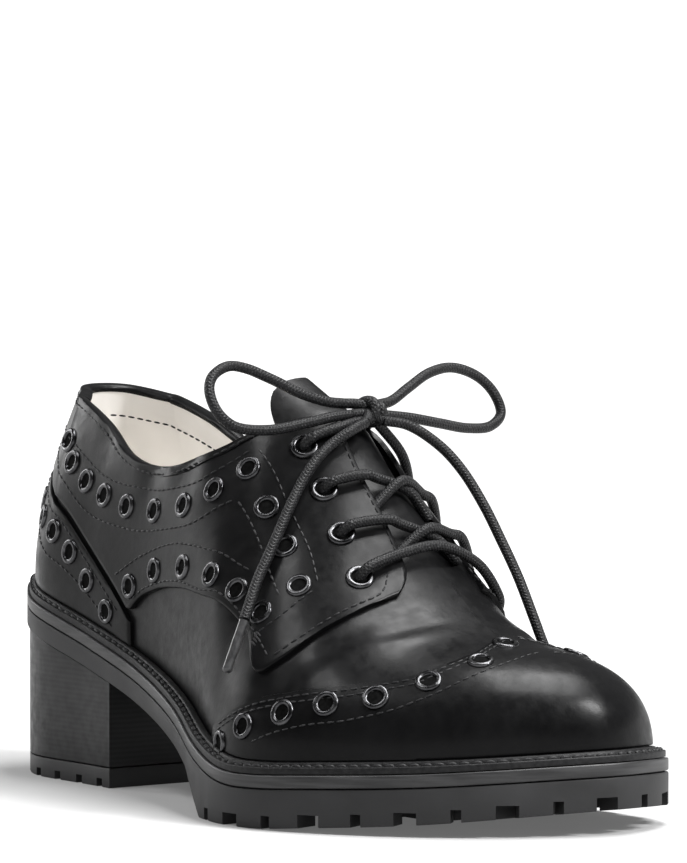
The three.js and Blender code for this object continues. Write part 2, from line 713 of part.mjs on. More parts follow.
function wingCap() {
  const steps = 5;
  const line = (r, side) => {
    const a = flat(r.foot, side, upAtWelt(r.foot, side));
    const b = flat(r.place, side, r.up);
    const cells = [];
    for (let j = 0; j <= steps; j += 1) {
      cells.push(unflat(a.x + (b.x - a.x) * j / steps, a.y + (b.y - a.y) * j / steps));
    }
    return cells;
  };
  const columns = wingRows.map((r) => line(r, -1));
  for (const r of [...wingRows].reverse().slice(1)) columns.push(line(r, 1));
  return sewn(columns);
}

function tongue() {
  const back = 0.45;
  const front = 0.83;
  const under = -wall - tongueGap;
  const columns = [];
  for (let i = 0; i <= 8; i += 1) {
    const p = back + (front - back) * i / 8;
    const half = tongueTop + (tongueMiddle - tongueTop) * Math.sin(Math.PI * i / 8);
    columns.push([-1, -0.6, -0.25, 0, 0.25, 0.6, 1].map(
      (u) => unflat(alongAt(p), u * half)));
  }
  return thicken(columns, under - tongueThickness, under + wall / 2, false)
    .subtract(shell(under, 2 * wall));
}

function insole() {
  const line = inset(plan, (x) => ledge(x) + wall + insoleGap);
  return layer(line, (x) => soleTop(x) + fit, (x) => soleTop(x) + fit + insoleThickness);
}

// Lace eyelets: a flanged barrel through the facing
const eyeletSides = 8;
function eyelet() {
  const sink = overlay + 0.5 * wall;
  const barrel = eyeletInner + eyeletWall;
  const profile = [
    [eyeletInner, -sink], [barrel, -sink], [barrel, fit], [eyeletOuter, fit],
    [eyeletOuter - fit, eyeletRim], [barrel, eyeletRim], [eyeletInner, fit], [eyeletInner, -sink],
  ].map(([r, z]) => new THREE.Vector2(r, z));
  const g = new THREE.LatheGeometry(profile, eyeletSides);
  g.rotateX(Math.PI / 2);
  return g;
}

// Length over the last from the ridge to the facing's edge, and to an eyelet behind it
const edgeReach = (p, side) => Math.abs(flat(p, side, upBeside(p, side, halfGap(p))).y);
const eyeletReach = (row, side) => edgeReach(row.place, side) + row.behind * eyeletSetback;
function seat(row, side, out) {
  const c = unflat(alongAt(row.place), side * eyeletReach(row, side));
  const normal = lastNormal(c.place, side, c.up);
  const turn = new THREE.Quaternion().setFromUnitVectors(new THREE.Vector3(0, 0, 1), normal);
  return new THREE.Matrix4().compose(
    onLast(c.place, side, c.up, out), turn, new THREE.Vector3(1, 1, 1));
}

function eyeletHole(row, side) {
  const radius = eyeletInner + eyeletWall + fit;
  const g = new THREE.CylinderGeometry(radius, radius, 8 * wall, eyeletSides);
  g.rotateX(Math.PI / 2);
  return solid(g.applyMatrix4(seat(row, side, 0)));
}

// Lace: a tube along a smooth line through the points
function cord(points, diameter, pitch = 2.2) {
  const curve = new THREE.CatmullRomCurve3(points, false, 'centripetal');
  const ring = new THREE.Shape();
  ring.absarc(0, 0, diameter / 2, 0, 2 * Math.PI);
  const g = new THREE.ExtrudeGeometry(ring, {
    curveSegments: 4,
    steps: Math.ceil(curve.getLength() / (pitch * diameter)),
    extrudePath: curve,
    bevelEnabled: false,
  });
  return solid(g);
}
const vectors = (points) => points.map((p) => new THREE.Vector3(...p));

// Heights of the lace over the last, and the step along a strand in diameters
const strandPitch = 1.1;
const inGap = laceRadius + fit - wall - tongueGap;
const overFacing = fit + overlay + fit + laceRadius;
const overRim = overFacing + eyeletRim;
const inHole = fit + overlay + eyeletRim + fit;

// Lace from the middle of the gap over one facing into its eyelet, drawn on the laid-flat pattern.
// where is the place at which it meets the ridge; stops are its points short of the facing.
function strand(row, side, where, stops) {
  const reach = eyeletReach(row, side);
  const half = edgeReach(row.place, side);
  const start = alongAt(where);
  const over = [
    { across: half + fit, out: overFacing + fit },
    { across: reach - eyeletOuter, out: overRim },
    { across: reach - 0.6 * eyeletOuter, out: overRim },
    { across: reach, out: inHole },
  ];
  return [...stops(half), ...over].map(({ across, out }) => {
    const c = unflat(start + (alongAt(row.place) - start) * across / reach, side * across);
    return onLast(c.place, c.side, c.up, out);
  });
}

// Straight bar between the lowest eyelets
function lowestBar() {
  const row = eyeletRows[eyeletRows.length - 1];
  const one = strand(row, -1, row.place, () => [{ across: 0, out: overFacing }]);
  const other = strand(row, 1, row.place, () => []);
  return cord([...other.reverse(), ...one], laceDiameter, strandPitch);
}

// Two strands from under the facings, crossing on the ridge and fused where they cross
function crossing(row, lower) {
  const where = row.place + 0.6 * (lower.place - row.place);
  const stops = (raise) => (half) => [
    { across: 2 * laceDiameter - half, out: inGap + fit },
    { across: 0, out: inGap + raise },
    { across: half - laceDiameter, out: overFacing - laceRadius },
  ];
  const one = cord(strand(row, -1, where, stops(fit)), laceDiameter, strandPitch);
  return one.add(cord(strand(row, 1, where, stops(laceDiameter - fit)), laceDiameter, strandPitch));
}

// Lace from a top eyelet up to the knot
function rise(side) {
  const row = eyeletRows[0];
  return cord(strand(row, side, row.place + 0.02, () => []), laceDiameter, strandPitch);
}

function knot() {
  const g = new THREE.SphereGeometry(0.5, 10, 6);
  g.scale(knotLength, knotWidth, knotHeight);
  g.translate(...knotCentre);
  return solid(g);
}

let upperSolid = shell(-wall, 0, upperHigh);
const quarterSolids = new Map([[-1, quarter(-1)], [1, quarter(1)]]);
for (const [side, panel] of quarterSolids) {
  let cut = panel;
  for (const row of eyeletRows) {
    const hole = eyeletHole(row, side);
    upperSolid = upperSolid.subtract(hole);
    cut = cut.subtract(hole);
  }
  quarterSolids.set(side, cut);
}

place('outsole', outsole(), rubber);
place('midsole', layer(plan, midsoleBottom, soleTop), edgeInk);
place('welt', welt(), weltInk);
place('heel_block', heelBlock(), stacked);
place('top_lift', topLift(), rubber);
place('insole', insole(), lining);
place('upper', upperSolid, leather);
place('quarter_outer', quarterSolids.get(-1), leather);
place('quarter_inner', quarterSolids.get(1), leather);
place('heel_counter', counter(), leather);
place('wing_cap', wingCap(), leather);
place('tongue', tongue(), leather);
eyeletRows.forEach((row, i) => {
  for (const [side, word] of [[-1, 'outer'], [1, 'inner']]) {
    const g = eyelet().applyMatrix4(seat(row, side, fit + overlay));
    place(`eyelet_${word}_${i + 1}`, solid(g), gunmetal);
  }
});
place('lace_bar', lowestBar(), waxedCord);
place('lace_crossing_low', crossing(eyeletRows[2], eyeletRows[3]), waxedCord);
place('lace_crossing_high', crossing(eyeletRows[1], eyeletRows[2]), waxedCord);
place('lace_rise_outer', rise(-1), waxedCord);
place('lace_rise_inner', rise(1), waxedCord);
place('lace_knot', knot(), waxedCord, shoe);
place('lace_loop_outer', cord(vectors(outerLoop), laceDiameter), waxedCord, shoe);
place('lace_loop_inner', cord(vectors(innerLoop), laceDiameter), waxedCord, shoe);
place('lace_end_outer', cord(vectors(outerEnd), laceDiameter), waxedCord, shoe);
place('lace_end_inner', cord(vectors(innerEnd), laceDiameter), waxedCord, shoe);
place('lace_tip_outer', cord(vectors(outerTip), tipDiameter), gunmetal, shoe);
place('lace_tip_inner', cord(vectors(innerTip), tipDiameter), gunmetal, shoe);

export default shoe;
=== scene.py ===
# Right oxford shoe: fine leather, panels, stitches, eyelets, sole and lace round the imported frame.
# Lengths are in millimetres until a mesh is made; the frame is the CAD row frame.
import math

import bmesh
import bpy
import numpy as np
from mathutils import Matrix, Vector


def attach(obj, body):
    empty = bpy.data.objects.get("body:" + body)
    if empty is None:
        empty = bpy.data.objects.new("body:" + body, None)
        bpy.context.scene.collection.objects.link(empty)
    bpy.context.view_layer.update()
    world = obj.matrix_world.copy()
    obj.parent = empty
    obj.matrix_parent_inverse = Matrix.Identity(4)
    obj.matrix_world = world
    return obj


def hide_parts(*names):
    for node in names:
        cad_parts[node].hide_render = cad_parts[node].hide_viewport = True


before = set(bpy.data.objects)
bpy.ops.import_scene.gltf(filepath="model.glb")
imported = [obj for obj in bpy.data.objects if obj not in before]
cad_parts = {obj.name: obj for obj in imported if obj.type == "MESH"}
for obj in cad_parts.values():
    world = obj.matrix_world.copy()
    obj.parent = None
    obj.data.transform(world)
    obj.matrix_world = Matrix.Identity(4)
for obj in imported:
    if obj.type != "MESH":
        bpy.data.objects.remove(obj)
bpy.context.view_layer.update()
MM = 0.001

# Driving sizes, as in the solids
SOLE_LENGTH = 250.0
BALL_WIDTH = 102.0
SEAT_HEIGHT = 59.3
PLATFORM_HEIGHT = 15.0
TOE_SPRING = 7.0
TOE_TAPER = 2.0
INSTEP_HEIGHT = 92.0
TOE_HEIGHT = 30.0
COLLAR_HEIGHT = 63.5
HEEL_LENGTH = 72.0
HEEL_INSET = 0.8
TOP_LIFT = 6.0
MIDSOLE = 3.6
BAND = 6.0
LUG_DEPTH = 3.6
LUG_RIM = 11.0
LUG_PITCH = 14.0
NOTCH_NARROW = 3.0
NOTCH_WIDE = 6.5
WELT = 2.2
WELT_INSET = 0.8
LIP_HEIGHT = 1.3
LIP_WIDTH = 2.4
LEDGE_HEEL = 4.5
LEDGE_TOE = 6.0
WALL = 1.8
OVERLAY = 1.3
SEAM = 1.0
FACING_MARGIN = 1.2
TONGUE = 2.0
TONGUE_GAP = 0.6
INSOLE = 2.6
GAP_TOP = 8.5
GAP_LOW = 12.5
EYELET_SETBACK = 14.5
EYELET_OUTER = 4.2
EYELET_INNER = 2.3
EYELET_RIM = 0.9
LACE = 3.1
TIP = 2.8
FIT = 0.3
ORIGIN = 0.5 * HEEL_LENGTH
HEEL_FAN = 0.13 * SOLE_LENGTH
TOE_FAN = 0.86 * SOLE_LENGTH
LATERAL, MEDIAL = -1, 1

# Sole outline: along, lateral, medial
OUTLINE = [
    (0.014, -0.165, 0.165), (0.052, -0.245, 0.262), (0.112, -0.315, 0.318), (0.24, -0.328, 0.318),
    (0.36, -0.35, 0.3), (0.48, -0.42, 0.312), (0.58, -0.512, 0.375), (0.67, -0.56, 0.445),
    (0.76, -0.515, 0.49), (0.84, -0.405, 0.5), (0.908, -0.268, 0.49), (0.962, -0.095, 0.43),
]
TOE_TIP = (1.005, 0.19)
# along, heel rise, toe lift
SOLE = [
    (0, 1, 0), (0.12, 0.856, 0), (0.24, 0.682, 0), (0.36, 0.497, 0), (0.46, 0.332, 0), (0.54, 0.178, 0),
    (0.61, 0.059, 0), (0.68, 0, 0), (0.71, 0, 0), (0.78, 0, 0.18), (0.9, 0, 0.52), (1, 0, 1),
]
# along, instep, toe, across
RIDGE = [
    (0.13, 1.02, 0, 0), (0.3, 1.075, 0, 0.0147), (0.42, 1.078, 0, 0.055), (0.5, 1.03, 0, 0.09),
    (0.55, 1, 0, 0.108), (0.6, 0.888, 0, 0.118), (0.66, 0.735, 0, 0.128), (0.7, 0.52, 0.27, 0.13),
    (0.74, 0.33, 0.53, 0.132), (0.79, 0.14, 0.82, 0.137), (0.84, 0.04, 0.97, 0.145),
    (0.88, 0, 1, 0.149), (0.95, 0, 0.74, 0.158),
]
# along, back, instep
COLLAR = [
    (0.08, 1, 0), (0.144, 0.992, 0), (0.214, 0.961, 0), (0.28, 0.899, 0), (0.32, 0.902, 0),
    (0.36, 0.934, 0), (0.4, 0.9, 0.063), (0.44, 0.72, 0.248), (0.48, 0.5, 0.476),
    (0.504, 0.35, 0.644), (0.532, 0.15, 0.846), (0.564, 0, 0.995),
]
# place, bulge, wall, shoulder
SECTIONS = {
    LATERAL: [
        (-1, 1.13, 0.36, 0.06), (0, 1.14, 0.36, 0.22), (0.3, 1.08, 0.5, 0.62), (0.5, 1.04, 0.58, 0.6),
        (0.64, 1.03, 0.5, 0.35), (0.75, 1.05, 0.5, 0.42), (0.88, 1.05, 0.62, 0.62),
        (1, 1.05, 0.66, 0.62), (2, 1.06, 0.66, 0.6),
    ],
    MEDIAL: [
        (-1, 1.13, 0.36, 0.06), (0, 1.14, 0.36, 0.22), (0.3, 1.08, 0.5, 0.62), (0.5, 1.04, 0.6, 0.55),
        (0.64, 1.05, 0.58, 0.45), (0.75, 1.06, 0.6, 0.5), (0.88, 1.06, 0.66, 0.62),
        (1, 1.05, 0.66, 0.62), (2, 1.06, 0.66, 0.6),
    ],
}
# place, up
COUNTER = [
    (-1, 0.34), (-0.5, 0.325), (-0.12, 0.297), (0.03, 0.256), (0.12, 0.187), (0.244, 0.089), (0.27, 0.066),
]
QUARTER = [
    (0.256, 0.09), (0.291, 0.13), (0.348, 0.166), (0.425, 0.196), (0.522, 0.239), (0.626, 0.303),
    (0.672, 0.318), (0.754, 0.314), (0.786, 0.465), (0.806, 0.65), (0.812, 0.76),
]
FACING_CORNER = (0.775, 0.79)
THROAT_START = 0.56
THROAT_END = 0.785
THROAT_ROUND = 0.07
# foot, place, up
WING = [
    (0.64, 0.645, 0.06), (0.7, 0.712, 0.149), (0.78, 0.781, 0.247), (0.86, 0.851, 0.326),
    (0.94, 0.911, 0.417), (1.0, 0.955, 0.5), (1.16, 0.976, 0.6), (1.33, 0.984, 0.7), (1.5, 0.98, 0.8),
    (1.66, 0.965, 0.88), (1.83, 0.947, 0.95), (2, 0.932, 1),
]
# place, distance behind the facing's edge
LACE_EYELETS = [(0.586, 0.947), (0.64, 0.939), (0.703, 1.042), (0.765, 1.084)]

# Decorative eyelets: place, up
COLLAR_EYELETS = [
    (0.006, 0.422), (0.035, 0.374), (0.091, 0.34), (0.156, 0.319), (0.232, 0.31), (0.322, 0.323),
    (0.418, 0.366), (0.491, 0.454), (0.539, 0.564),
]
FACING_EYELETS = [(0.596, 0.534), (0.652, 0.529), (0.714, 0.518), (0.683, 0.382)]
ARC_EYELETS = [(0.262, 0.147), (0.345, 0.204), (0.45, 0.249), (0.548, 0.302), (0.615, 0.346)]
HEEL_EYELETS = [(-0.5, 0.262), (-0.205, 0.233), (0.014, 0.203), (0.071, 0.169), (0.127, 0.118), (0.189, 0.069)]
WING_EYELETS = [
    (0.682, 0.043), (0.747, 0.128), (0.819, 0.211), (0.884, 0.286), (0.944, 0.361), (0.991, 0.505),
]
WING_TOP_EYELETS = [(LATERAL, 1.066, 0.717), (LATERAL, 0.973, 0.938), (MEDIAL, 1.066, 0.717)]

# Loose lace, millimetres
OUTER_LOOP = [
    (103.4, 5, 116.6), (102.6, -0.6, 117.2), (100.8, -8.8, 119.7), (98, -17.5, 124), (96, -25.3, 127.2),
    (95.5, -31, 127.8), (96.5, -37.1, 124.9), (98, -39.2, 121), (100.5, -38.2, 115), (102, -33.3, 110.7),
    (104, -23.3, 109.4), (105.6, -9.3, 111.4), (106.2, -1, 112.9), (106.6, 4.8, 113.4),
]
INNER_LOOP = [
    (104.4, 16.5, 116.1), (104, 21.4, 117), (103.4, 28.4, 120.9), (102.2, 37, 125.1), (101.4, 46, 126.5),
    (101, 56, 123.6), (101.6, 61.8, 118.4), (103, 63.2, 112.6), (104.2, 58.6, 109), (105.4, 49, 108.5),
    (106.6, 37.6, 110.2), (107.2, 26, 112.1), (107.4, 16.6, 113.1),
]
OUTER_END = [
    (110.4, 7.6, 111.3), (111.6, 0.8, 108.7), (110.9, -4.8, 105.4), (111.6, -10.2, 101.6),
    (112, -14.3, 97.4), (112.2, -17.6, 93), (113.6, -22.5, 86.5), (115, -27.2, 79.8),
    (116.3, -31.5, 73.7), (117.4, -35.7, 67.7), (119, -39.4, 61.8), (120.3, -42.4, 56.6),
]
OUTER_TIP = [(120.4, -42.7, 56.1), (121.4, -46.4, 49.3), (122.2, -50, 42.2)]
INNER_END = [
    (109.8, 14.4, 111.6), (112.4, 21.6, 110.1), (116.6, 30, 104), (121.3, 34.5, 97), (127.2, 38, 86.9),
    (132.8, 40, 77), (139.8, 41, 66.3), (145.9, 41.8, 55.1), (150.2, 43, 45.8), (152.4, 45.4, 39.6),
]
INNER_TIP = [(152.6, 45.6, 39.1), (154.4, 49.2, 31.8), (156, 53, 24.6)]
KNOT_CENTRE = (106.0, 11.0, 114.4)


# Smooth value of one column of a table
def along(rows, x, column=1):
    t = [r[0] for r in rows]
    v = [r[column] for r in rows]
    slopes = [(v[i + 1] - v[i]) / (t[i + 1] - t[i]) for i in range(len(t) - 1)]
    if x <= t[0]:
        return v[0] + slopes[0] * (x - t[0])
    if x >= t[-1]:
        return v[-1] + slopes[-1] * (x - t[-1])
    i = 0
    while x > t[i + 1]:
        i += 1

    def tangent(k):
        if k == 0:
            return slopes[0]
        if k == len(t) - 1:
            return slopes[-1]
        before, after = t[k] - t[k - 1], t[k + 1] - t[k]
        return (slopes[k - 1] * after + slopes[k] * before) / (before + after)

    h = t[i + 1] - t[i]
    u = (x - t[i]) / h
    return ((2 * u**3 - 3 * u * u + 1) * v[i] + (u**3 - 2 * u * u + u) * h * tangent(i)
            + (3 * u * u - 2 * u**3) * v[i + 1] + (u**3 - u * u) * h * tangent(i + 1))


def lift(x):
    return along(SOLE, x / SOLE_LENGTH, 2)


def sole_top(x):
    rise = along(SOLE, x / SOLE_LENGTH, 1) * (SEAT_HEIGHT - PLATFORM_HEIGHT)
    return PLATFORM_HEIGHT + rise + lift(x) * (TOE_SPRING - TOE_TAPER)


def tread_bottom(x):
    return lift(x) * TOE_SPRING


def ridge_across(x):
    return along(RIDGE, x / SOLE_LENGTH, 3) * BALL_WIDTH


def ridge_top(x):
    a = x / SOLE_LENGTH
    return sole_top(x) + along(RIDGE, a, 1) * INSTEP_HEIGHT + along(RIDGE, a, 2) * TOE_HEIGHT


def collar_top(x):
    a = x / SOLE_LENGTH
    return sole_top(x) + along(COLLAR, a, 1) * COLLAR_HEIGHT + along(COLLAR, a, 2) * INSTEP_HEIGHT


# Centripetal curve through points, evenly resampled
def smooth_curve(points, count, closed=False):
    p = np.array(points, float)
    if closed:
        q = np.vstack([p[-1:], p, p[:2]])
    else:
        q = np.vstack([2 * p[0] - p[1], p, 2 * p[-1] - p[-2]])
    fine = []
    for i in range(1, len(q) - 2):
        a, b, c, d = q[i - 1], q[i], q[i + 1], q[i + 2]
        ta, tb, tc = (max(np.linalg.norm(w) ** 0.5, 1e-4) for w in (b - a, c - b, d - c))
        m1 = ((b - a) / ta - (c - a) / (ta + tb) + (c - b) / tb) * tb
        m2 = ((c - b) / tb - (d - b) / (tb + tc) + (d - c) / tc) * tb
        u = np.linspace(0, 1, 40, endpoint=False)[:, None]
        fine.append((2 * u**3 - 3 * u * u + 1) * b + (u**3 - 2 * u * u + u) * m1
                    + (3 * u * u - 2 * u**3) * c + (u**3 - u * u) * m2)
    fine = np.vstack(fine + [q[-2:-1]])
    s = np.concatenate([[0], np.cumsum(np.linalg.norm(np.diff(fine, axis=0), axis=1))])
    want = np.linspace(0, s[-1], count, endpoint=not closed)
    return np.stack([np.interp(want, s, fine[:, k]) for k in range(fine.shape[1])], 1)


def outline(count):
    rows = [(a * SOLE_LENGTH, l * BALL_WIDTH) for a, l, m in OUTLINE]
    back = [(a * SOLE_LENGTH, m * BALL_WIDTH) for a, l, m in reversed(OUTLINE)]
    tip = (TOE_TIP[0] * SOLE_LENGTH, TOE_TIP[1] * BALL_WIDTH)
    return smooth_curve([(0, 0)] + rows + [tip] + back, count, closed=True)


def inset(points, amount):
    t = np.roll(points, -1, 0) - np.roll(points, 1, 0)
    t /= np.linalg.norm(t, axis=1)[:, None]
    d = np.array([amount(x) for x in points[:, 0]]) if callable(amount) else np.full(len(points), amount)
    return points + np.stack([-t[:, 1], t[:, 0]], 1) * d[:, None]


def ledge(x):
    a = min(max(x / SOLE_LENGTH, 0.24), 0.68)
    return LEDGE_HEEL + (LEDGE_TOE - LEDGE_HEEL) * (a - 0.24) / (0.68 - 0.24)


UPPER_LINE = inset(outline(360), ledge)


def edge_distance(centre, direction):
    a = UPPER_LINE
    e = np.roll(a, -1, 0) - a
    det = direction[0] * e[:, 1] - direction[1] * e[:, 0]
    w = a - centre
    t = (w[:, 0] * e[:, 1] - w[:, 1] * e[:, 0]) / det
    s = (w[:, 0] * direction[1] - w[:, 1] * direction[0]) / det
    return t[(t > 0) & (s >= -1e-6) & (s <= 1 + 1e-6)].max()


# The last as a fine grid of points and normals, for each side
PLACES = np.concatenate([np.linspace(-1, 0, 61), np.linspace(0, 1, 301)[1:], np.linspace(1, 2, 91)[1:]])
UPS = np.linspace(0, 1, 141)


def section_rows(place, side):
    inside = min(max(place, 0), 1)
    x = HEEL_FAN + (TOE_FAN - HEEL_FAN) * inside
    turn = (place - inside) * math.pi / 2
    direction = np.array([math.sin(turn), side * math.cos(turn)])
    centre = np.array([x, ridge_across(x)])
    reach = edge_distance(centre, direction)
    foot = sole_top(centre[0] + direction[0] * reach) + FIT
    top = ridge_top(x)
    slope = (ridge_top(x + 0.1) - top) / 0.1 * direction[0] if place > 1 else 0.0
    bulge, rise, shoulder = (along(SECTIONS[side], place, k) for k in (1, 2, 3))
    shoulder *= reach
    rule = np.array([
        (reach, foot), (reach * bulge, foot + rise * (top - foot)),
        (shoulder, top + slope * shoulder), (0, top)])
    t = UPS[:, None]
    flat = ((1 - t)**3 * rule[0] + 3 * t * (1 - t)**2 * rule[1]
            + 3 * t * t * (1 - t) * rule[2] + t**3 * rule[3])
    arc = np.concatenate([[0], np.cumsum(np.linalg.norm(np.diff(flat, axis=0), axis=1))])
    point = np.column_stack([centre[0] + direction[0] * flat[:, 0], centre[1] + direction[1] * flat[:, 0],
                             flat[:, 1]])
    return point, arc[-1] - arc


def build_last():
    last = {}
    for side in (LATERAL, MEDIAL):
        rows = [section_rows(p, side) for p in PLACES]
        point = np.array([r[0] for r in rows])
        arc = np.array([r[1] for r in rows])
        du = np.gradient(point, axis=0)
        dv = np.gradient(point, axis=1)
        normal = np.cross(du, dv) * -side
        for i, p in enumerate(PLACES):
            x = HEEL_FAN + (TOE_FAN - HEEL_FAN) * min(max(p, 0), 1)
            normal[i, -1] = (-(ridge_top(x + 1) - ridge_top(x - 1)) / 2, 0, 1)
        normal[0, :, 1] = 0
        normal[-1, :, 1] = 0
        normal /= np.linalg.norm(normal, axis=2)[:, :, None]
        last[side] = (point, normal, arc)
    return last


LAST = build_last()


# Soft creases and hollows over the skin, from listed troughs: place, up, length, width, depth, turn
CREASES = [
    (0.83, 0.62, 34, 3.4, 0.55, 0.15), (0.862, 0.72, 30, 3.0, 0.45, -0.1), (0.8, 0.3, 20, 4.0, 0.35, 0.5),
    (0.5, 0.55, 26, 5.0, 0.5, 0.9), (0.4, 0.5, 24, 5.5, 0.45, 0.5), (0.3, 0.42, 22, 6.0, 0.4, 0.2),
    (0.15, 0.55, 24, 6.5, 0.5, 0.05), (-0.1, 0.5, 18, 6.0, 0.4, 0.0), (0.58, 0.42, 24, 4.5, 0.4, 1.1),
]


def lookup(side, place, up):
    place = np.asarray(place, float)
    up = np.asarray(up, float)
    i = np.interp(place, PLACES, np.arange(len(PLACES)))
    j = np.clip(up, 0, 1) * (len(UPS) - 1)
    i0 = np.clip(i.astype(int), 0, len(PLACES) - 2)
    j0 = np.clip(j.astype(int), 0, len(UPS) - 2)
    fi = (i - i0)[..., None]
    fj = (j - j0)[..., None]
    out = []
    for grid in LAST[side][:2]:
        out.append((grid[i0, j0] * (1 - fi) + grid[i0 + 1, j0] * fi) * (1 - fj)
                   + (grid[i0, j0 + 1] * (1 - fi) + grid[i0 + 1, j0 + 1] * fi) * fj)
    normal = out[1] / np.linalg.norm(out[1], axis=-1)[..., None]
    return out[0], normal


def crease_depth(point, side):
    depth = np.zeros(point.shape[:-1])
    for place, up, length, width, amount, turn in CREASES:
        centre, normal = lookup(side, place, up)
        ahead = lookup(side, place + 0.01, up)[0] - centre
        ahead /= np.linalg.norm(ahead)
        upward = np.cross(ahead, normal) * side
        line = upward * math.cos(turn) - ahead * math.sin(turn)
        cross = upward * math.sin(turn) + ahead * math.cos(turn)
        offset = point - centre
        a = offset @ line / (0.5 * length)
        b = offset @ cross / width
        near = np.exp(-((offset @ normal) / 12.0) ** 2)
        depth += amount * near * np.exp(-a**2) * (np.exp(-b**2) - 0.45 * np.exp(-((abs(b) - 1.6) / 0.8)**2))
    return depth


def on_last(side, place, up, out, soft=True):
    point, normal = lookup(side, place, up)
    out = np.asarray(out, float)
    if soft:
        out = out - crease_depth(point, side)
    return point + normal * out[..., None]


def up_where(place, side, test):
    point = lookup(side, np.full(len(UPS), place), UPS)[0]
    value = test(point)
    hit = np.argmax(value > 0)
    if hit == 0:
        return 1.0 if value[0] <= 0 else 0.0
    share = -value[hit - 1] / (value[hit] - value[hit - 1])
    return UPS[hit - 1] + share * (UPS[hit] - UPS[hit - 1])


def along_at(place):
    return HEEL_FAN + (TOE_FAN - HEEL_FAN) * place


def up_at_welt(place, side):
    lip_top = WELT + LIP_HEIGHT + FIT
    return up_where(place, side, lambda q: np.array([z - sole_top(x) - lip_top for x, y, z in q]))


def up_at_collar(place, side):
    return up_where(place, side, lambda q: np.array([z - collar_top(x) for x, y, z in q]))


def up_beside(place, side, distance):
    middle = ridge_across(along_at(min(max(place, 0), 1)))
    return up_where(place, side, lambda q: distance - abs(q[:, 1] - middle))


def half_gap(place):
    share = min(max((place - THROAT_START) / (THROAT_END - THROAT_START), 0), 1)
    return GAP_TOP + (GAP_LOW - GAP_TOP) * share


# Laid-flat pattern: x along, y the length over the section from the ridge
def arcs_at(place, side):
    i = np.interp(place, PLACES, np.arange(len(PLACES)))
    i0 = min(int(i), len(PLACES) - 2)
    return LAST[side][2][i0] * (1 - i + i0) + LAST[side][2][i0 + 1] * (i - i0)


def flat(place, side, up):
    arc = np.interp(up, UPS, arcs_at(place, side))
    inside = min(max(place, 0), 1)
    turn = (place - inside) * math.pi / 2
    return np.array([along_at(inside) + math.sin(turn) * arc, side * math.cos(turn) * arc])


def unflat(x, y):
    side = LATERAL if y <= 0 else MEDIAL
    ahead = max(0.0, x - TOE_FAN)
    behind = min(0.0, x - HEEL_FAN)
    place = (x - ahead - HEEL_FAN) / (TOE_FAN - HEEL_FAN) + math.atan2(ahead, abs(y)) / (math.pi / 2)
    if behind < 0:
        place = -math.atan2(-behind, abs(y)) / (math.pi / 2)
    arc = math.hypot(ahead + behind, y)
    table = arcs_at(place, side)
    return side, place, float(np.interp(-arc, -table, UPS))


def quarter_low(p):
    if p < QUARTER[0][0]:
        return along(COUNTER, p) + SEAM / SEAT_HEIGHT
    return along(QUARTER, p)


def quarter_high(p, side):
    collar = up_at_collar(p, side)
    if p < 0.5:
        return collar
    high = min(collar, up_beside(p, side, half_gap(p)))
    if p < FACING_CORNER[0]:
        return high
    share = (p - FACING_CORNER[0]) / (QUARTER[-1][0] - FACING_CORNER[0])
    return high + (FACING_CORNER[1] - high) * share * share


def upper_high(p, side):
    if p >= THROAT_END:
        return 1.0
    collar = up_at_collar(p, side)
    if p < 0.5:
        return collar
    share = max(0.0, (p - THROAT_END + THROAT_ROUND) / THROAT_ROUND)
    return min(collar, up_beside(p, side, (half_gap(p) + FACING_MARGIN) * math.sqrt(max(0, 1 - share**2))))


# Mesh making
def make(name, verts, faces, materials, face_slots=None, smooth=True, angle=40, uv=None):
    mesh = bpy.data.meshes.new(name)
    corners = [tuple(v) for v in np.asarray(verts) * MM]
    mesh.from_pydata(corners, [], [tuple(int(i) for i in f) for f in faces])
    for m in materials:
        mesh.materials.append(m)
    if face_slots is not None:
        mesh.polygons.foreach_set("material_index", list(face_slots))
    if uv is not None:
        layer = mesh.uv_layers.new(name="run")
        index = np.empty(len(mesh.loops), int)
        mesh.loops.foreach_get("vertex_index", index)
        layer.data.foreach_set("uv", np.asarray(uv, float)[index].ravel())
    mesh.polygons.foreach_set("use_smooth", [smooth] * len(mesh.polygons))
    mesh.update()
    if smooth:
        mesh.set_sharp_from_angle(angle=math.radians(angle))
    obj = bpy.data.objects.new(name, mesh)
    bpy.context.scene.collection.objects.link(obj)
    return obj


def shifted(points):
    return np.asarray(points, float) - np.array([ORIGIN, 0, 0])


def place_piece(obj, slot, *nodes):
    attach(obj, "root")
    if nodes:
        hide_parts(*nodes)
    return obj


# Closed panel between two skins from grids of points: outer[i][j] and inner[i][j]
def panel_mesh(name, outer, inner, materials, slot_of=None, ring=False, angle=40):
    n, m = outer.shape[:2]
    verts = np.vstack([outer.reshape(-1, 3), inner.reshape(-1, 3)])
    base = n * m
    faces = []
    slots = []
    last = n if ring else n - 1
    for i in range(last):
        k = (i + 1) % n
        for j in range(m - 1):
            faces.append((i * m + j, k * m + j, k * m + j + 1, i * m + j + 1))
            slots.append(0)
            faces.append((base + i * m + j + 1, base + k * m + j + 1, base + k * m + j, base + i * m + j))
            slots.append(1)
        faces.append((base + i * m, base + k * m, k * m, i * m))
        slots.append(2)
        faces.append((i * m + m - 1, k * m + m - 1, base + k * m + m - 1, base + i * m + m - 1))
        slots.append(2)
    if not ring:
        for j in range(m - 1):
            faces.append((j, j + 1, base + j + 1, base + j))
            e = (n - 1) * m
            faces.append((base + e + j, base + e + j + 1, e + j + 1, e + j))
            slots += [2, 2]
    chosen = [slot_of[s] for s in slots] if slot_of else None
    return make(name, verts, faces, materials, chosen, angle=angle)


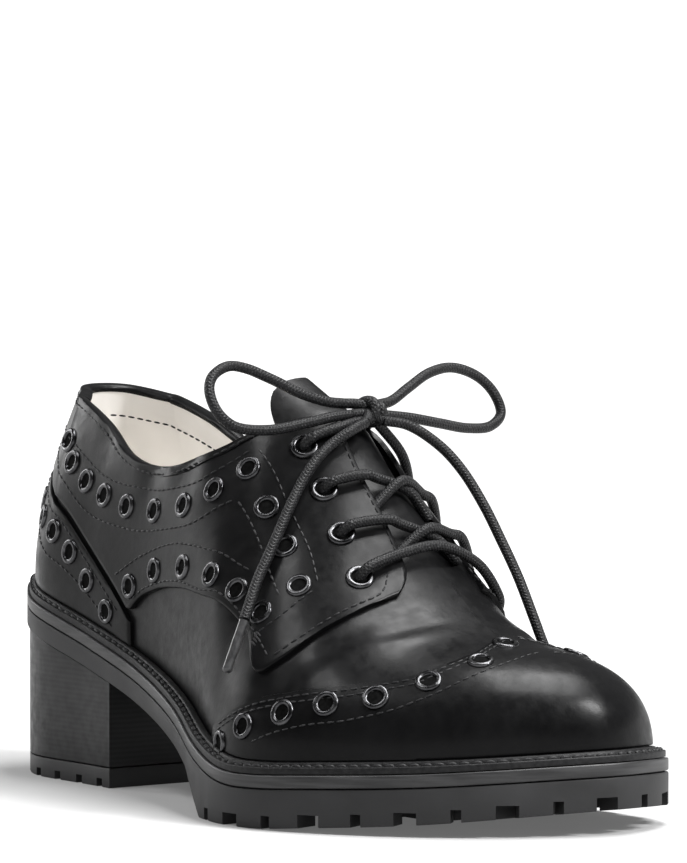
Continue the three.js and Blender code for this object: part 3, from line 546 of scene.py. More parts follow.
# Rounded edge: shares over a row with close stations at both ends, and how far each is drawn in
ROUND = [(0, 0.62), (0.12, 0.3), (0.3, 0.1), (0.6, 0)]


def edge_stations(length, steps):
    radius = 0.9
    ends = [r * radius / max(length, 3 * radius) for r, d in ROUND]
    middle = np.linspace(ends[-1], 1 - ends[-1], steps)
    shares = ends[:-1] + list(middle) + [1 - e for e in reversed(ends[:-1])]
    sunk = [d for r, d in ROUND[:-1]] + [0.0] * steps + [d for r, d in reversed(ROUND[:-1])]
    return np.array(shares), np.array(sunk)


def sewn_panel(name, cells, sunk, node):
    n, m = len(cells), len(cells[0])
    outer = np.zeros((n, m, 3))
    inner = np.zeros((n, m, 3))
    for i in range(n):
        for side in (LATERAL, MEDIAL):
            take = [j for j in range(m) if cells[i][j][0] == side]
            if not take:
                continue
            place = np.array([cells[i][j][1] for j in take])
            up = np.array([cells[i][j][2] for j in take])
            deep = np.array([sunk[i][j] for j in take])
            outer[i, take] = on_last(side, place, up, FIT + OVERLAY - deep)
            inner[i, take] = on_last(side, place, up, np.full(len(take), 0.02))
    obj = panel_mesh(name, shifted(outer), shifted(inner), [MATERIALS["leather"]])
    return place_piece(obj, "leather", node)


# Materials
def new_material(name, color, roughness, metallic=0.0, coat=0.0, coat_rough=0.2, specular=0.35):
    m = bpy.data.materials.new(name)
    m.use_nodes = True
    shader = m.node_tree.nodes["Principled BSDF"]
    shader.inputs["Base Color"].default_value = (*color, 1)
    shader.inputs["Roughness"].default_value = roughness
    shader.inputs["Metallic"].default_value = metallic
    shader.inputs["Coat Weight"].default_value = coat
    shader.inputs["Coat Roughness"].default_value = coat_rough
    shader.inputs["Specular IOR Level"].default_value = specular
    return m, m.node_tree, shader


def add(tree, kind, **values):
    node = tree.nodes.new(kind)
    for key, value in values.items():
        if key in node.inputs:
            node.inputs[key].default_value = value
        else:
            setattr(node, key, value)
    return node


def coordinates(tree, scale=(1, 1, 1), space="Object"):
    tex = add(tree, "ShaderNodeTexCoord")
    mapping = add(tree, "ShaderNodeMapping")
    mapping.inputs["Scale"].default_value = scale
    tree.links.new(tex.outputs[space], mapping.inputs["Vector"])
    return mapping.outputs["Vector"]


def ramp(tree, source, low, high, at=(0.35, 0.65)):
    node = add(tree, "ShaderNodeMapRange")
    node.inputs["From Min"].default_value = at[0]
    node.inputs["From Max"].default_value = at[1]
    node.inputs["To Min"].default_value = low
    node.inputs["To Max"].default_value = high
    tree.links.new(source, node.inputs["Value"])
    return node.outputs["Result"]


def bumps(tree, shader, layers):
    previous = None
    for height, strength, distance in layers:
        node = add(tree, "ShaderNodeBump")
        node.inputs["Strength"].default_value = strength
        node.inputs["Distance"].default_value = distance * MM
        tree.links.new(height, node.inputs["Height"])
        if previous is not None:
            tree.links.new(previous, node.inputs["Normal"])
        previous = node.outputs["Normal"]
    tree.links.new(previous, shader.inputs["Normal"])


def tint(tree, shader, source, low, high, at=(0.35, 0.65)):
    mix = add(tree, "ShaderNodeMix", data_type="RGBA")
    factor = ramp(tree, source, 0, 1, at)
    tree.links.new(factor, mix.inputs[0])
    mix.inputs[6].default_value = (*low, 1)
    mix.inputs[7].default_value = (*high, 1)
    tree.links.new(mix.outputs[2], shader.inputs["Base Color"])


# Material from named textures: which of them tints it, roughens it and raises it
def textured(name, color, roughness, textures, tinted, rough=None, layers=(), scale=(1, 1, 1), **looks):
    m, tree, shader = new_material(name, color, roughness, **looks)
    where = coordinates(tree, scale)
    value = {}
    for key, (kind, settings) in textures.items():
        node = add(tree, f"ShaderNodeTex{kind}", **settings)
        tree.links.new(where, node.inputs["Vector"])
        value[key] = node.outputs["Distance" if kind == "Voronoi" else "Fac"]
    source, *colors = tinted
    tint(tree, shader, value[source], *colors)
    if rough:
        source, low, high = rough
        tree.links.new(ramp(tree, value[source], low, high), shader.inputs["Roughness"])
    if layers:
        bumps(tree, shader, [(value[key], strength, distance) for key, strength, distance in layers])
    return m


def noise(scale, **settings):
    return "Noise", {"Scale": scale, **settings}


def calculation(tree, operation, first, second=None):
    node = add(tree, "ShaderNodeMath", operation=operation)
    for slot, value in enumerate((first, second)):
        if isinstance(value, float):
            node.inputs[slot].default_value = value
        elif value is not None:
            tree.links.new(value, node.inputs[slot])
    return node.outputs[0]


# Braided cord: the run map counts diameters along and turns around
def cord_material():
    m, tree, shader = new_material("waxed_cord", (0.008, 0.008, 0.0085), 0.42, coat=0.05, coat_rough=0.3,
                                   specular=0.18)
    split = add(tree, "ShaderNodeSeparateXYZ")
    tree.links.new(coordinates(tree, (1, 1, 1), "UV"), split.inputs["Vector"])
    weaves = []
    for skew in (3.0, -3.0):
        run = calculation(tree, "MULTIPLY", split.outputs["X"], skew)
        around = calculation(tree, "MULTIPLY", split.outputs["Y"], 6.0)
        total = calculation(tree, "ADD", run, around)
        weaves.append(calculation(tree, "SINE", calculation(tree, "MULTIPLY", total, 2 * math.pi)))
    braid = calculation(tree, "MAXIMUM", *weaves)
    fleck = add(tree, "ShaderNodeTexNoise", Scale=2200.0, Detail=2.0)
    tree.links.new(coordinates(tree), fleck.inputs["Vector"])
    tint(tree, shader, fleck.outputs["Fac"], (0.007, 0.007, 0.0075), (0.05, 0.05, 0.052), (0.55, 0.75))
    bumps(tree, shader, [(braid, 0.55, 0.22), (fleck.outputs["Fac"], 0.25, 0.1)])
    return m


MATERIALS = {
    "leather": textured(
        "black_leather", (0.004, 0.004, 0.0043), 0.32, coat=0.045, coat_rough=0.16, specular=0.085,
        textures={"grain": ("Voronoi", {"Scale": 1250.0, "feature": "DISTANCE_TO_EDGE"}),
                  "soft": noise(260.0, Detail=5.0, Roughness=0.6), "wide": noise(38.0, Detail=3.0)},
        tinted=("wide", (0.0025, 0.0025, 0.0027), (0.005, 0.005, 0.0053)), rough=("soft", 0.28, 0.42),
        layers=[("wide", 0.25, 1.2), ("soft", 0.22, 0.35), ("grain", 0.12, 0.08)]),
    "rubber": textured(
        "dark_rubber", (0.02, 0.02, 0.021), 0.6, specular=0.3,
        textures={"fine": noise(1400.0, Detail=4.0), "wide": noise(60.0, Detail=3.0)},
        tinted=("wide", (0.016, 0.016, 0.0165), (0.026, 0.026, 0.027)), rough=("wide", 0.5, 0.66),
        layers=[("fine", 0.2, 0.12)]),
    "edge": textured(
        "midsole_edge", (0.05, 0.05, 0.05), 0.42, scale=(60, 60, 900),
        textures={"fibre": noise(1.0, Detail=6.0)},
        tinted=("fibre", (0.016, 0.016, 0.0165), (0.04, 0.04, 0.041)), layers=[("fibre", 0.12, 0.12)]),
    "welt": textured(
        "welt_leather", (0.008, 0.008, 0.0085), 0.5, specular=0.2,
        textures={"fine": noise(700.0, Detail=5.0)},
        tinted=("fine", (0.005, 0.005, 0.0055), (0.014, 0.014, 0.0145)), layers=[("fine", 0.5, 0.2)]),
    "stacked": textured(
        "stacked_heel", (0.012, 0.012, 0.0125), 0.4, specular=0.22,
        textures={"sheets": ("Wave", {"Scale": 210.0, "Distortion": 0.6, "Detail": 3.0, "bands_direction": "Z"}),
                  "fine": noise(300.0, Detail=4.0)},
        tinted=("sheets", (0.0125, 0.0125, 0.013), (0.017, 0.017, 0.0175), (0.1, 0.9)),
        rough=("fine", 0.36, 0.52), layers=[("sheets", 0.08, 0.06), ("fine", 0.12, 0.1)]),
    "lining": textured(
        "lining_leather", (0.55, 0.52, 0.48), 0.62,
        textures={"fine": noise(900.0, Detail=5.0), "wide": noise(45.0, Detail=3.0)},
        tinted=("wide", (0.78, 0.755, 0.72), (0.86, 0.835, 0.8)),
        layers=[("wide", 0.15, 0.6), ("fine", 0.18, 0.12)]),
    "gunmetal": textured(
        "gunmetal", (0.05, 0.05, 0.052), 0.26, metallic=1.0,
        textures={"wear": noise(350.0, Detail=4.0)},
        tinted=("wear", (0.035, 0.035, 0.037), (0.085, 0.085, 0.088)), rough=("wear", 0.18, 0.34),
        layers=[("wear", 0.08, 0.05)]),
    # Near-black dull disc in each eyelet's hole: painted shade where the open hole is dark
    "hole": textured(
        "hole_painted_shade", (0.002, 0.002, 0.002), 0.9, specular=0.04,
        textures={"fine": noise(900.0)}, tinted=("fine", (0.0015, 0.0015, 0.0015), (0.005, 0.005, 0.005))),
    "cord": cord_material(),
    "thread": textured(
        "black_thread", (0.006, 0.006, 0.0065), 0.5, specular=0.22,
        textures={"fine": noise(2500.0)},
        tinted=("fine", (0.006, 0.006, 0.0065), (0.02, 0.02, 0.021)), layers=[("fine", 0.3, 0.06)]),
    "tip": textured(
        "lace_tip", (0.02, 0.02, 0.021), 0.28, coat=0.3, coat_rough=0.15,
        textures={"fine": noise(500.0)},
        tinted=("fine", (0.02, 0.02, 0.021), (0.05, 0.05, 0.051)), layers=[("fine", 0.1, 0.05)]),
}


# Camera found from the photo, in metres, and its light
SENSOR_WIDTH = 36.0
FOCAL_LENGTH = 197.1
EYE = (1.22005, -0.80735, 0.15944)
VIEW_DIRECTION = (-0.80823684, 0.58769809, -0.03693444)
WORLD_STRENGTH = 0.16
# name, place, aimed at, size, power
LIGHTS = [
    ("key", (-0.25, -0.75, 1.5), (0.03, 0, 0.05), (0.5, 0.35), 8),
    ("top", (0.2, 0.3, 1.3), (0.06, 0, 0.05), (0.9, 0.5), 28),
    ("front", (1.1, 0.5, 1.1), (0.1, 0, 0.05), (0.3, 0.45), 28),
    ("left", (-1.0, -0.3, 0.5), (-0.02, 0, 0.06), (0.25, 0.5), 4),
]
FLOOR_REACH = 6.0
BACKDROP_RADIUS = 5.5
BACKDROP_HEIGHT = 1.0
BACKDROP_SIDES = 32


def camera():
    data = bpy.data.cameras.new("camera")
    data.sensor_width = SENSOR_WIDTH
    data.lens = FOCAL_LENGTH
    data.clip_start, data.clip_end = 0.1, 60
    cam = bpy.data.objects.new("camera", data)
    cam.location = EYE
    cam.rotation_mode = "QUATERNION"
    cam.rotation_quaternion = Vector(VIEW_DIRECTION).to_track_quat("-Z", "Y")
    bpy.context.scene.collection.objects.link(cam)
    bpy.context.scene.camera = cam


def area_light(name, position, target, size, power):
    data = bpy.data.lights.new(name, "AREA")
    data.shape = "RECTANGLE"
    data.size, data.size_y = size
    data.energy = power
    lamp = bpy.data.objects.new(name, data)
    lamp.location = position
    lamp.rotation_mode = "QUATERNION"
    lamp.rotation_quaternion = (Vector(target) - Vector(position)).to_track_quat("-Z", "Y")
    bpy.context.scene.collection.objects.link(lamp)


def studio():
    bpy.context.scene.view_settings.view_transform = "Standard"
    world = bpy.data.worlds.new("studio")
    world.use_nodes = True
    background = world.node_tree.nodes["Background"]
    background.inputs["Color"].default_value = (1, 1, 1, 1)
    background.inputs["Strength"].default_value = WORLD_STRENGTH
    bpy.context.scene.world = world
    for light in LIGHTS:
        area_light(*light)
    far, n = FLOOR_REACH, BACKDROP_SIDES
    stage_mesh("floor", [(-far, -far, 0), (far, -far, 0), (far, far, 0), (-far, far, 0)], [(0, 1, 2, 3)],
               (0.12, 0.97))
    turns = [2 * math.pi * k / n for k in range(n)]
    ring = [(BACKDROP_RADIUS * math.cos(t), BACKDROP_RADIUS * math.sin(t), z)
            for z in (-0.01, BACKDROP_HEIGHT) for t in turns]
    faces = [(k, (k + 1) % n, n + (k + 1) % n, n + k) for k in range(n)]
    stage_mesh("backdrop", ring, faces, (1.0, 1.0))


# White stage that glows more away from the shoe
def stage_mesh(name, corners, faces, glow):
    mesh = bpy.data.meshes.new(name)
    mesh.from_pydata(corners, [], faces)
    m, tree, shader = new_material(f"{name}_white", (0.4, 0.4, 0.4), 0.8)
    noise = add(tree, "ShaderNodeTexNoise", Scale=60.0)
    where = coordinates(tree)
    tree.links.new(where, noise.inputs["Vector"])
    tint(tree, shader, noise.outputs["Fac"], (0.395, 0.395, 0.395), (0.405, 0.405, 0.405))
    far = add(tree, "ShaderNodeVectorMath", operation="LENGTH")
    tree.links.new(where, far.inputs[0])
    strength = ramp(tree, far.outputs["Value"], glow[0], glow[1], (0.2, 0.9))
    shader.inputs["Emission Color"].default_value = (1, 1, 1, 1)
    tree.links.new(strength, shader.inputs["Emission Strength"])
    mesh.materials.append(m)
    obj = bpy.data.objects.new(name, mesh)
    bpy.context.scene.collection.objects.link(obj)


# Tube along points, with the run map
def tube_mesh(name, points, radius, material, sides=14, radii=None):
    p = np.asarray(points, float)
    tangent = np.gradient(p, axis=0)
    tangent /= np.linalg.norm(tangent, axis=1)[:, None]
    up = np.array([0, 0, 1.0]) if abs(tangent[0][2]) < 0.9 else np.array([1.0, 0, 0])
    side = np.cross(tangent[0], up)
    side /= np.linalg.norm(side)
    s = np.concatenate([[0], np.cumsum(np.linalg.norm(np.diff(p, axis=0), axis=1))])
    verts, uv = [], []
    turns = np.linspace(0, 2 * math.pi, sides + 1)
    for i, t in enumerate(tangent):
        side = side - t * (side @ t)
        side /= np.linalg.norm(side)
        other = np.cross(t, side)
        r = radius if radii is None else radii[i]
        for k, a in enumerate(turns):
            verts.append(p[i] + (side * math.cos(a) + other * math.sin(a)) * r)
            uv.append((s[i] / (2 * radius), k / sides))
    w = sides + 1
    faces = []
    for i in range(len(p) - 1):
        for k in range(sides):
            faces.append((i * w + k, i * w + k + 1, (i + 1) * w + k + 1, (i + 1) * w + k))
    for i, sign in ((0, -1), (len(p) - 1, 1)):
        centre = len(verts)
        verts.append(p[i] + tangent[i] * sign * radius * 0.25)
        uv.append((s[i] / (2 * radius), 0.5))
        for k in range(sides):
            ring = (i * w + k, i * w + k + 1)
            faces.append((centre, *ring) if sign > 0 else (centre, *ring[::-1]))
    obj = make(name, verts, faces, [material], uv=uv, angle=60)
    merge(obj)
    return obj


def merge(obj):
    work = bmesh.new()
    work.from_mesh(obj.data)
    bmesh.ops.remove_doubles(work, verts=work.verts, dist=1e-7)
    bmesh.ops.recalc_face_normals(work, faces=work.faces)
    work.to_mesh(obj.data)
    work.free()


camera()
studio()


# Loose lace: two loops and two ends with their tips, on routes measured from the heel's centre
TIP_STATIONS = 24
TIP_FLARE = 0.1


def loose_cord(name, route, node):
    points = smooth_curve(route, 150)
    obj = tube_mesh(name, points, 0.5 * LACE, MATERIALS["cord"])
    place_piece(obj, "cord", node)


def tip_mesh(name, route, node):
    points = smooth_curve(route, TIP_STATIONS)
    radii = np.full(TIP_STATIONS, 0.5 * TIP)
    radii[0] = 0.5 * TIP + TIP_FLARE
    radii[-1] = 0.4 * TIP
    obj = tube_mesh(name, points, 0.5 * TIP, MATERIALS["tip"], radii=radii)
    return place_piece(obj, "cord", node)


outer_tip = tip_mesh("lace_tip_left", OUTER_TIP, "lace_tip_outer")
inner_tip = tip_mesh("lace_tip_right", INNER_TIP, "lace_tip_inner")
loose_cord("lace_loop_left", OUTER_LOOP, "lace_loop_outer")
loose_cord("lace_loop_right", INNER_LOOP, "lace_loop_inner")
loose_cord("lace_end_left", OUTER_END, "lace_end_outer")
loose_cord("lace_end_right", INNER_END, "lace_end_inner")


# Leather outside and on the rim, lining inside
SKINS = [MATERIALS["leather"], MATERIALS["lining"]]
SKIN_SLOTS = {0: 0, 1: 1, 2: 0}


# Upper with its lining, open at the collar and the throat
def upper():
    places = [p for p in np.unique(np.concatenate([
        np.linspace(-1, 0, 31), np.linspace(0, 0.5, 61), np.linspace(0.5, 0.8, 81),
        np.linspace(0.8, 1, 31), np.linspace(1, 2, 41), [THROAT_END]]).round(5))]
    steps = 64
    columns = [(p, LATERAL) for p in places] + [(p, MEDIAL) for p in reversed(places[1:-1])]
    outer, inner = [], []
    for p, side in columns:
        high = upper_high(p, side)
        ups = np.linspace(0, 1, steps + 1) * high
        where = np.full(len(ups), p)
        outer.append(on_last(side, where, ups, 0.0))
        inner.append(on_last(side, where, ups, -WALL))
    obj = panel_mesh("upper_leather", shifted(outer), shifted(inner), SKINS, SKIN_SLOTS, ring=True)
    m = steps + 1
    closed = {i for i, (p, side) in enumerate(columns) if p >= THROAT_END - 1e-6}
    drop_ridge(obj, closed, m, len(columns))
    place_piece(obj, "leather", "upper")


# The rim's faces are taken out where both halves meet on the ridge
def drop_ridge(obj, closed, m, n):
    work = bmesh.new()
    work.from_mesh(obj.data)
    work.verts.ensure_lookup_table()
    rim = {i * m + m - 1 for i in closed} | {n * m + i * m + m - 1 for i in closed}
    gone = [f for f in work.faces if all(v.index in rim for v in f.verts)]
    bmesh.ops.delete(work, geom=gone, context="FACES_ONLY")
    bmesh.ops.remove_doubles(work, verts=work.verts, dist=2e-6)
    bmesh.ops.recalc_face_normals(work, faces=work.faces)
    work.to_mesh(obj.data)
    work.free()


# A place on the collar's edge: point, outward direction and the direction down the skin
def collar_frame(place, side, high):
    point, normal = lookup(side, place, high)
    down = lookup(side, place, high - 0.02)[0] - point
    return point, normal, down / np.linalg.norm(down)


# Folded binding over the collar
def binding():
    reach = 2.6
    inner_reach = 0.9
    places = np.concatenate([np.linspace(-1, 0, 41), np.linspace(0, 0.572, 121)[1:]])
    columns = [(p, MEDIAL) for p in reversed(places[1:])] + [(p, LATERAL) for p in places]
    out_top, in_low = FIT + OVERLAY + 0.28, -WALL - 0.28
    middle = 0.5 * (out_top + in_low)
    half = 0.5 * (out_top - in_low)
    rows = []
    for p, side in columns:
        high = up_at_collar(p, side)
        point, normal, down = collar_frame(p, side, high)
        ring = []
        for t in np.linspace(0, 1, 5):
            ring.append(on_last(side, p, high, 0) + normal * out_top + down * reach * (1 - t))
        for a in np.linspace(0, math.pi, 9)[1:-1]:
            ring.append(point + normal * (middle + half * math.cos(a)) - down * 0.9 * math.sin(a))
        for t in np.linspace(0, 1, 5):
            ring.append(on_last(side, p, high, 0) + normal * in_low + down * inner_reach * t)
        for out in (in_low + 0.5, out_top - 0.5):
            ring.append(point + normal * out + down * (inner_reach if out < 0 else reach))
        rows.append(ring)
    ring_tube("collar_binding", shifted(rows), MATERIALS["leather"], "leather")


def ring_tube(name, rows, material, slot, nodes=()):
    n, m = rows.shape[:2]
    faces = []
    for i in range(n - 1):
        for j in range(m):
            k = (j + 1) % m
            faces.append((i * m + j, (i + 1) * m + j, (i + 1) * m + k, i * m + k))
    faces.append(tuple(range(m)))
    faces.append(tuple(reversed(range((n - 1) * m, n * m))))
    obj = make(name, rows.reshape(-1, 3), faces, [material])
    merge(obj)
    return place_piece(obj, slot, *nodes)


# Panel with rounded edges from columns of one side and place each
def rolled(columns, low_of, high_of, name, node, steps=34, length=55):
    shares, row_sunk = edge_stations(length, steps)
    cells, sunk = [], []
    for (p, side), end in columns:
        low, high = low_of(p, side), high_of(p, side)
        cells.append([(side, p, low + (high - low) * s) for s in shares])
        sunk.append(np.maximum(row_sunk, end))
    merge(sewn_panel(name, cells, sunk, node))


QUARTER_BACK = -0.992


def quarter(side, name, node):
    shares, ends = edge_stations(190, 150)
    places = [QUARTER_BACK + (QUARTER[-1][0] - QUARTER_BACK) * s for s in shares]
    columns = [((p, side), e) for p, e in zip(places, ends)]
    rolled(columns, lambda p, s: quarter_low(p), quarter_high, name, node)


COUNTER_REACH = 1.262


def counter():
    shares, ends = edge_stations(170, 110)
    columns = []
    for s, e in zip(shares, ends):
        p = -1 + abs(2 * s - 1) * COUNTER_REACH
        columns.append(((max(p, -1), MEDIAL if s < 0.5 else LATERAL), e))

    def high(p, side):
        return max(up_at_welt(p, side) + 0.004, along(COUNTER, p))
    rolled(columns, up_at_welt, high, "heel_strip", "heel_counter", steps=16, length=26)


def wing_cap():
    shares, ends = edge_stations(300, 200)
    rows_shares, row_sunk = edge_stations(60, 34)
    cells, sunk = [], []
    for s, e in zip(shares, ends):
        side = LATERAL if s < 0.5 else MEDIAL
        foot = 0.64 + (2 - 0.64) * (1 - abs(2 * s - 1))
        place, up = along(WING, foot, 1), min(1.0, along(WING, foot, 2))
        a = flat(foot, side, up_at_welt(foot, side))
        b = flat(place, side, up)
        line = []
        for t in rows_shares:
            q = a + (b - a) * t
            if abs(q[1]) < 1e-6:
                q[1] = side * 1e-6
            line.append(unflat(q[0], q[1]))
        cells.append(line)
        sunk.append(np.maximum(row_sunk, e))
    merge(sewn_panel("wing", cells, sunk, "wing_cap"))


# Tongue: half width at its ends, how much wider it is between them, and the share of its rounded tail
TONGUE_HALF = 20
TONGUE_SWELL = 6
TONGUE_TAIL = 0.16


def tongue():
    back, front = 0.462, 0.83
    under = -WALL - TONGUE_GAP
    outer, inner = [], []
    across = np.linspace(-1, 1, 41)
    for i in np.linspace(0, 1, 61):
        p = back + (front - back) * i
        half = TONGUE_HALF + TONGUE_SWELL * math.sin(math.pi * i)
        half *= 0.45 + 0.55 * math.sqrt(1 - (1 - min(i / TONGUE_TAIL, 1)) ** 2)
        one, two = [], []
        for u in across:
            side, place, up = unflat(along_at(p), u * half if abs(u) > 1e-9 else -1e-6)
            one.append(on_last(side, place, up, under - 0.1, soft=False))
            two.append(on_last(side, place, up, under - TONGUE, soft=False))
        outer.append(one)
        inner.append(two)
    obj = panel_mesh("tongue_leather", shifted(outer), shifted(inner), SKINS, SKIN_SLOTS)
    merge(obj)
    place_piece(obj, "leather", "tongue")


# Sole: slab between two side lines from a plan ring
PLAN = outline(360)


def slab(name, ring, low, high, edge, material):
    n = len(ring)
    levels = [(edge, low, 0.0), (0.3 * edge, low, 0.3 * edge), (0.0, low, edge),
              (0.0, high, -edge), (0.3 * edge, high, -0.3 * edge), (edge, high, 0.0)]
    verts, faces = [], []
    for draw, line, rise in levels:
        for x, y in inset(ring, draw):
            verts.append((x, y, line(x) + rise))
    for k in range(len(levels) - 1):
        for i in range(n):
            j = (i + 1) % n
            faces.append((k * n + i, k * n + j, (k + 1) * n + j, (k + 1) * n + i))
    top = (len(levels) - 1) * n
    for i in range(n // 2):
        a, b, c, d = i, i + 1, (n - i - 1) % n, (n - i) % n
        for base in (0, top):
            corners = list(dict.fromkeys([base + a, base + b, base + c, base + d]))
            if len(corners) > 2:
                faces.append(tuple(corners))
    obj = make(name, shifted(verts), faces, [material], angle=50)
    merge(obj)
    return obj


def heel_ring(amount, x_end):
    base = inset(PLAN, amount)
    lateral = base[:180]
    medial = base[180:][::-1]
    xs = [0.5 * x_end * (1 - math.cos(a)) for a in np.linspace(0, math.pi * 0.75, 70)]
    xs = [amount + (x - xs[0]) / (xs[-1] - xs[0]) * (x_end - amount) for x in xs]
    low = lateral[lateral[:, 0].argsort()]
    up = medial[medial[:, 0].argsort()]
    y0 = [np.interp(x, low[:, 0], low[:, 1]) for x in xs]
    y1 = [np.interp(x, up[:, 0], up[:, 1]) for x in xs]
    front = [(x_end, y0[-1] + (y1[-1] - y0[-1]) * s) for s in (0.1, 0.3, 0.5, 0.7, 0.9)]
    ring = [(xs[0], 0.0)] + [(x, y) for x, y in zip(xs[1:], y0[1:])] + front[:2] + [front[2]]
    ring += front[3:] + [(x, y) for x, y in zip(xs[:0:-1], y1[:0:-1])]
    return np.array(ring)


def midsole_bottom(x):
    return sole_top(x) - MIDSOLE


def band_top(x):
    return midsole_bottom(x) - FIT


def band_bottom(x):
    return band_top(x) - BAND


# Where the sole's underside comes down from the waist to the tread, and how it bends
WAIST_START = 134.0
WAIST_END = 149.0
WAIST_CURVE = 1.6
PLATFORM_START = 143.75
BAR_COUNT = 5
BAR_LENGTH = 7
BAR_HALF_WIDTH = 17.3
LIFT_SLOT_PITCH = 12
LIFT_SLOT_HALF = 1.6
LIFT_SLOT_DEPTH = 2.6


def tread(x):
    if x <= WAIST_START:
        return band_bottom(x)
    if x >= WAIST_END:
        return tread_bottom(x)
    share = (x - WAIST_START) / (WAIST_END - WAIST_START)
    return band_bottom(x) + (tread_bottom(x) - band_bottom(x)) * share**WAIST_CURVE


def box_part(x0, x1, y0, y1, z0, z1, turn=0.0, at=(0.0, 0.0)):
    c, s = math.cos(turn), math.sin(turn)
    verts = []
    for x in (x0, x1):
        for y in (y0, y1):
            for z in (z0, z1):
                verts.append((at[0] + x * c - y * s, at[1] + x * s + y * c, z))
    faces = [(0, 1, 3, 2), (4, 6, 7, 5), (0, 4, 5, 1), (2, 3, 7, 6), (0, 2, 6, 4), (1, 5, 7, 3)]
    return verts, faces


def joined(name, parts, material, smooth=False):
    verts, faces = [], []
    for v, f in parts:
        base = len(verts)
        verts += list(v)
        faces += [tuple(base + i for i in q) for q in f]
    return make(name, shifted(verts), faces, [material], smooth=smooth)


def carve(obj, cutter):
    merge(cutter)
    bpy.context.view_layer.objects.active = obj
    cut = obj.modifiers.new("cut", "BOOLEAN")
    cut.operation = "DIFFERENCE"
    cut.solver = "EXACT"
    cut.use_self = True
    cut.object = cutter
    bpy.ops.object.modifier_apply(modifier=cut.name)
    bpy.data.objects.remove(cutter)
    obj.data.set_sharp_from_angle(angle=math.radians(35))


def outsole():
    sole = slab("outsole_rubber", PLAN, tread, band_top, 0.5, MATERIALS["rubber"])
    from_x = PLATFORM_START + LUG_RIM
    well = inset(PLAN, LUG_RIM)
    well = well[well[:, 0] > from_x][::3]
    base = [(x, y, -6.0) for x, y in well] + [(x, y, tread_bottom(x) + LUG_DEPTH) for x, y in well]
    n = len(well)
    walls = [(i, (i + 1) % n, n + (i + 1) % n, n + i) for i in range(n)]
    parts = [(base, walls + [tuple(reversed(range(n))), tuple(range(n, 2 * n))])]
    rim = outline(720)
    gone, following, width = 0.0, LUG_PITCH, NOTCH_NARROW
    for i in range(1, len(rim)):
        step = rim[i] - rim[i - 1]
        gone += np.linalg.norm(step)
        if rim[i][0] < from_x or gone < following:
            continue
        roof = tread_bottom(rim[i][0]) + LUG_DEPTH
        turn = math.atan2(step[1], step[0])
        parts.append(box_part(-width / 2, width / 2, -1.5, LUG_RIM + 0.5, -5, roof, turn, rim[i]))
        width = NOTCH_NARROW + NOTCH_WIDE - width
        following = gone + LUG_PITCH
    carve(sole, joined("cutter", parts, MATERIALS["rubber"]))
    place_piece(sole, "rubber", "outsole")
    bars = []
    for i in range(BAR_COUNT):
        x = 0.645 * SOLE_LENGTH + 0.062 * SOLE_LENGTH * i
        mid = 0.5 * ridge_across(x) - 0.02 * BALL_WIDTH
        z = max(tread_bottom(x), tread_bottom(x + BAR_LENGTH))
        bars.append(box_part(x, x + BAR_LENGTH, mid - BAR_HALF_WIDTH, mid + BAR_HALF_WIDTH, z, z + LUG_DEPTH + 1))
    place_piece(joined("tread_bars", bars, MATERIALS["rubber"]), "rubber")


def top_lift():
    ring = heel_ring(HEEL_INSET, HEEL_LENGTH)
    lift_mesh = slab("heel_top_lift", ring, lambda x: 0.0, lambda x: TOP_LIFT, 0.4, MATERIALS["rubber"])
    cuts = []
    x = HEEL_LENGTH - 0.5 * LIFT_SLOT_PITCH
    while x > LIFT_SLOT_PITCH:
        for side in (-1, 1):
            edge = side * 0.31 * BALL_WIDTH
            cuts.append(box_part(x - LIFT_SLOT_HALF, x + LIFT_SLOT_HALF, edge - 5, edge + 5, -5, LIFT_SLOT_DEPTH))
        x -= LIFT_SLOT_PITCH
    carve(lift_mesh, joined("cutter", cuts, MATERIALS["rubber"]))
    place_piece(lift_mesh, "rubber", "top_lift")


def heel_and_midsole():
    block = slab("heel_stack", heel_ring(HEEL_INSET, HEEL_LENGTH), lambda x: TOP_LIFT + FIT,
                 lambda x: band_bottom(x) - FIT, 0.35, MATERIALS["stacked"])
    place_piece(block, "stacked", "heel_block")
    mid = slab("midsole_strip", PLAN, midsole_bottom, sole_top, 0.45, MATERIALS["edge"])
    place_piece(mid, "edge", "midsole")
    sock_line = inset(PLAN, lambda x: ledge(x) + WALL + 1.3)

    def sock_low(x):
        return sole_top(x) + FIT

    def sock_high(x):
        return sole_top(x) + FIT + INSOLE
    sock = slab("sock", sock_line, sock_low, sock_high, 0.6, MATERIALS["lining"])
    place_piece(sock, "lining", "insole")


def welt():
    line = inset(PLAN, WELT_INSET)
    tangent = np.roll(line, -1, 0) - np.roll(line, 1, 0)
    tangent /= np.linalg.norm(tangent, axis=1)[:, None]
    inward = np.stack([-tangent[:, 1], tangent[:, 0]], 1)
    verts, faces = [], []
    lip_top = WELT + LIP_HEIGHT
    for at, direction in zip(line, inward):
        wide = ledge(at[0]) - WELT_INSET - FIT
        lip = wide - LIP_WIDTH
        profile = [(0, FIT), (0, WELT - 0.35), (0.12, WELT - 0.1), (0.4, WELT), (lip - 0.1, WELT),
                   (lip + 0.15, WELT + 0.35), (lip + 0.25, WELT + 0.9), (lip + 0.6, lip_top - 0.12),
                   (lip + 1.1, lip_top), (wide - 0.5, lip_top), (wide, lip_top - 0.3), (wide, FIT)]
        for d, z in profile:
            q = at + direction * d
            verts.append((q[0], q[1], sole_top(q[0]) + z))
    n, m = len(line), len(profile)
    for i in range(n):
        for j in range(m):
            k = (j + 1) % m
            faces.append((i * m + j, ((i + 1) % n) * m + j, ((i + 1) % n) * m + k, i * m + k))
    obj = make("storm_welt", shifted(verts), faces, [MATERIALS["welt"]], angle=50)
    merge(obj)
    place_piece(obj, "welt", "welt")
    return line, inward


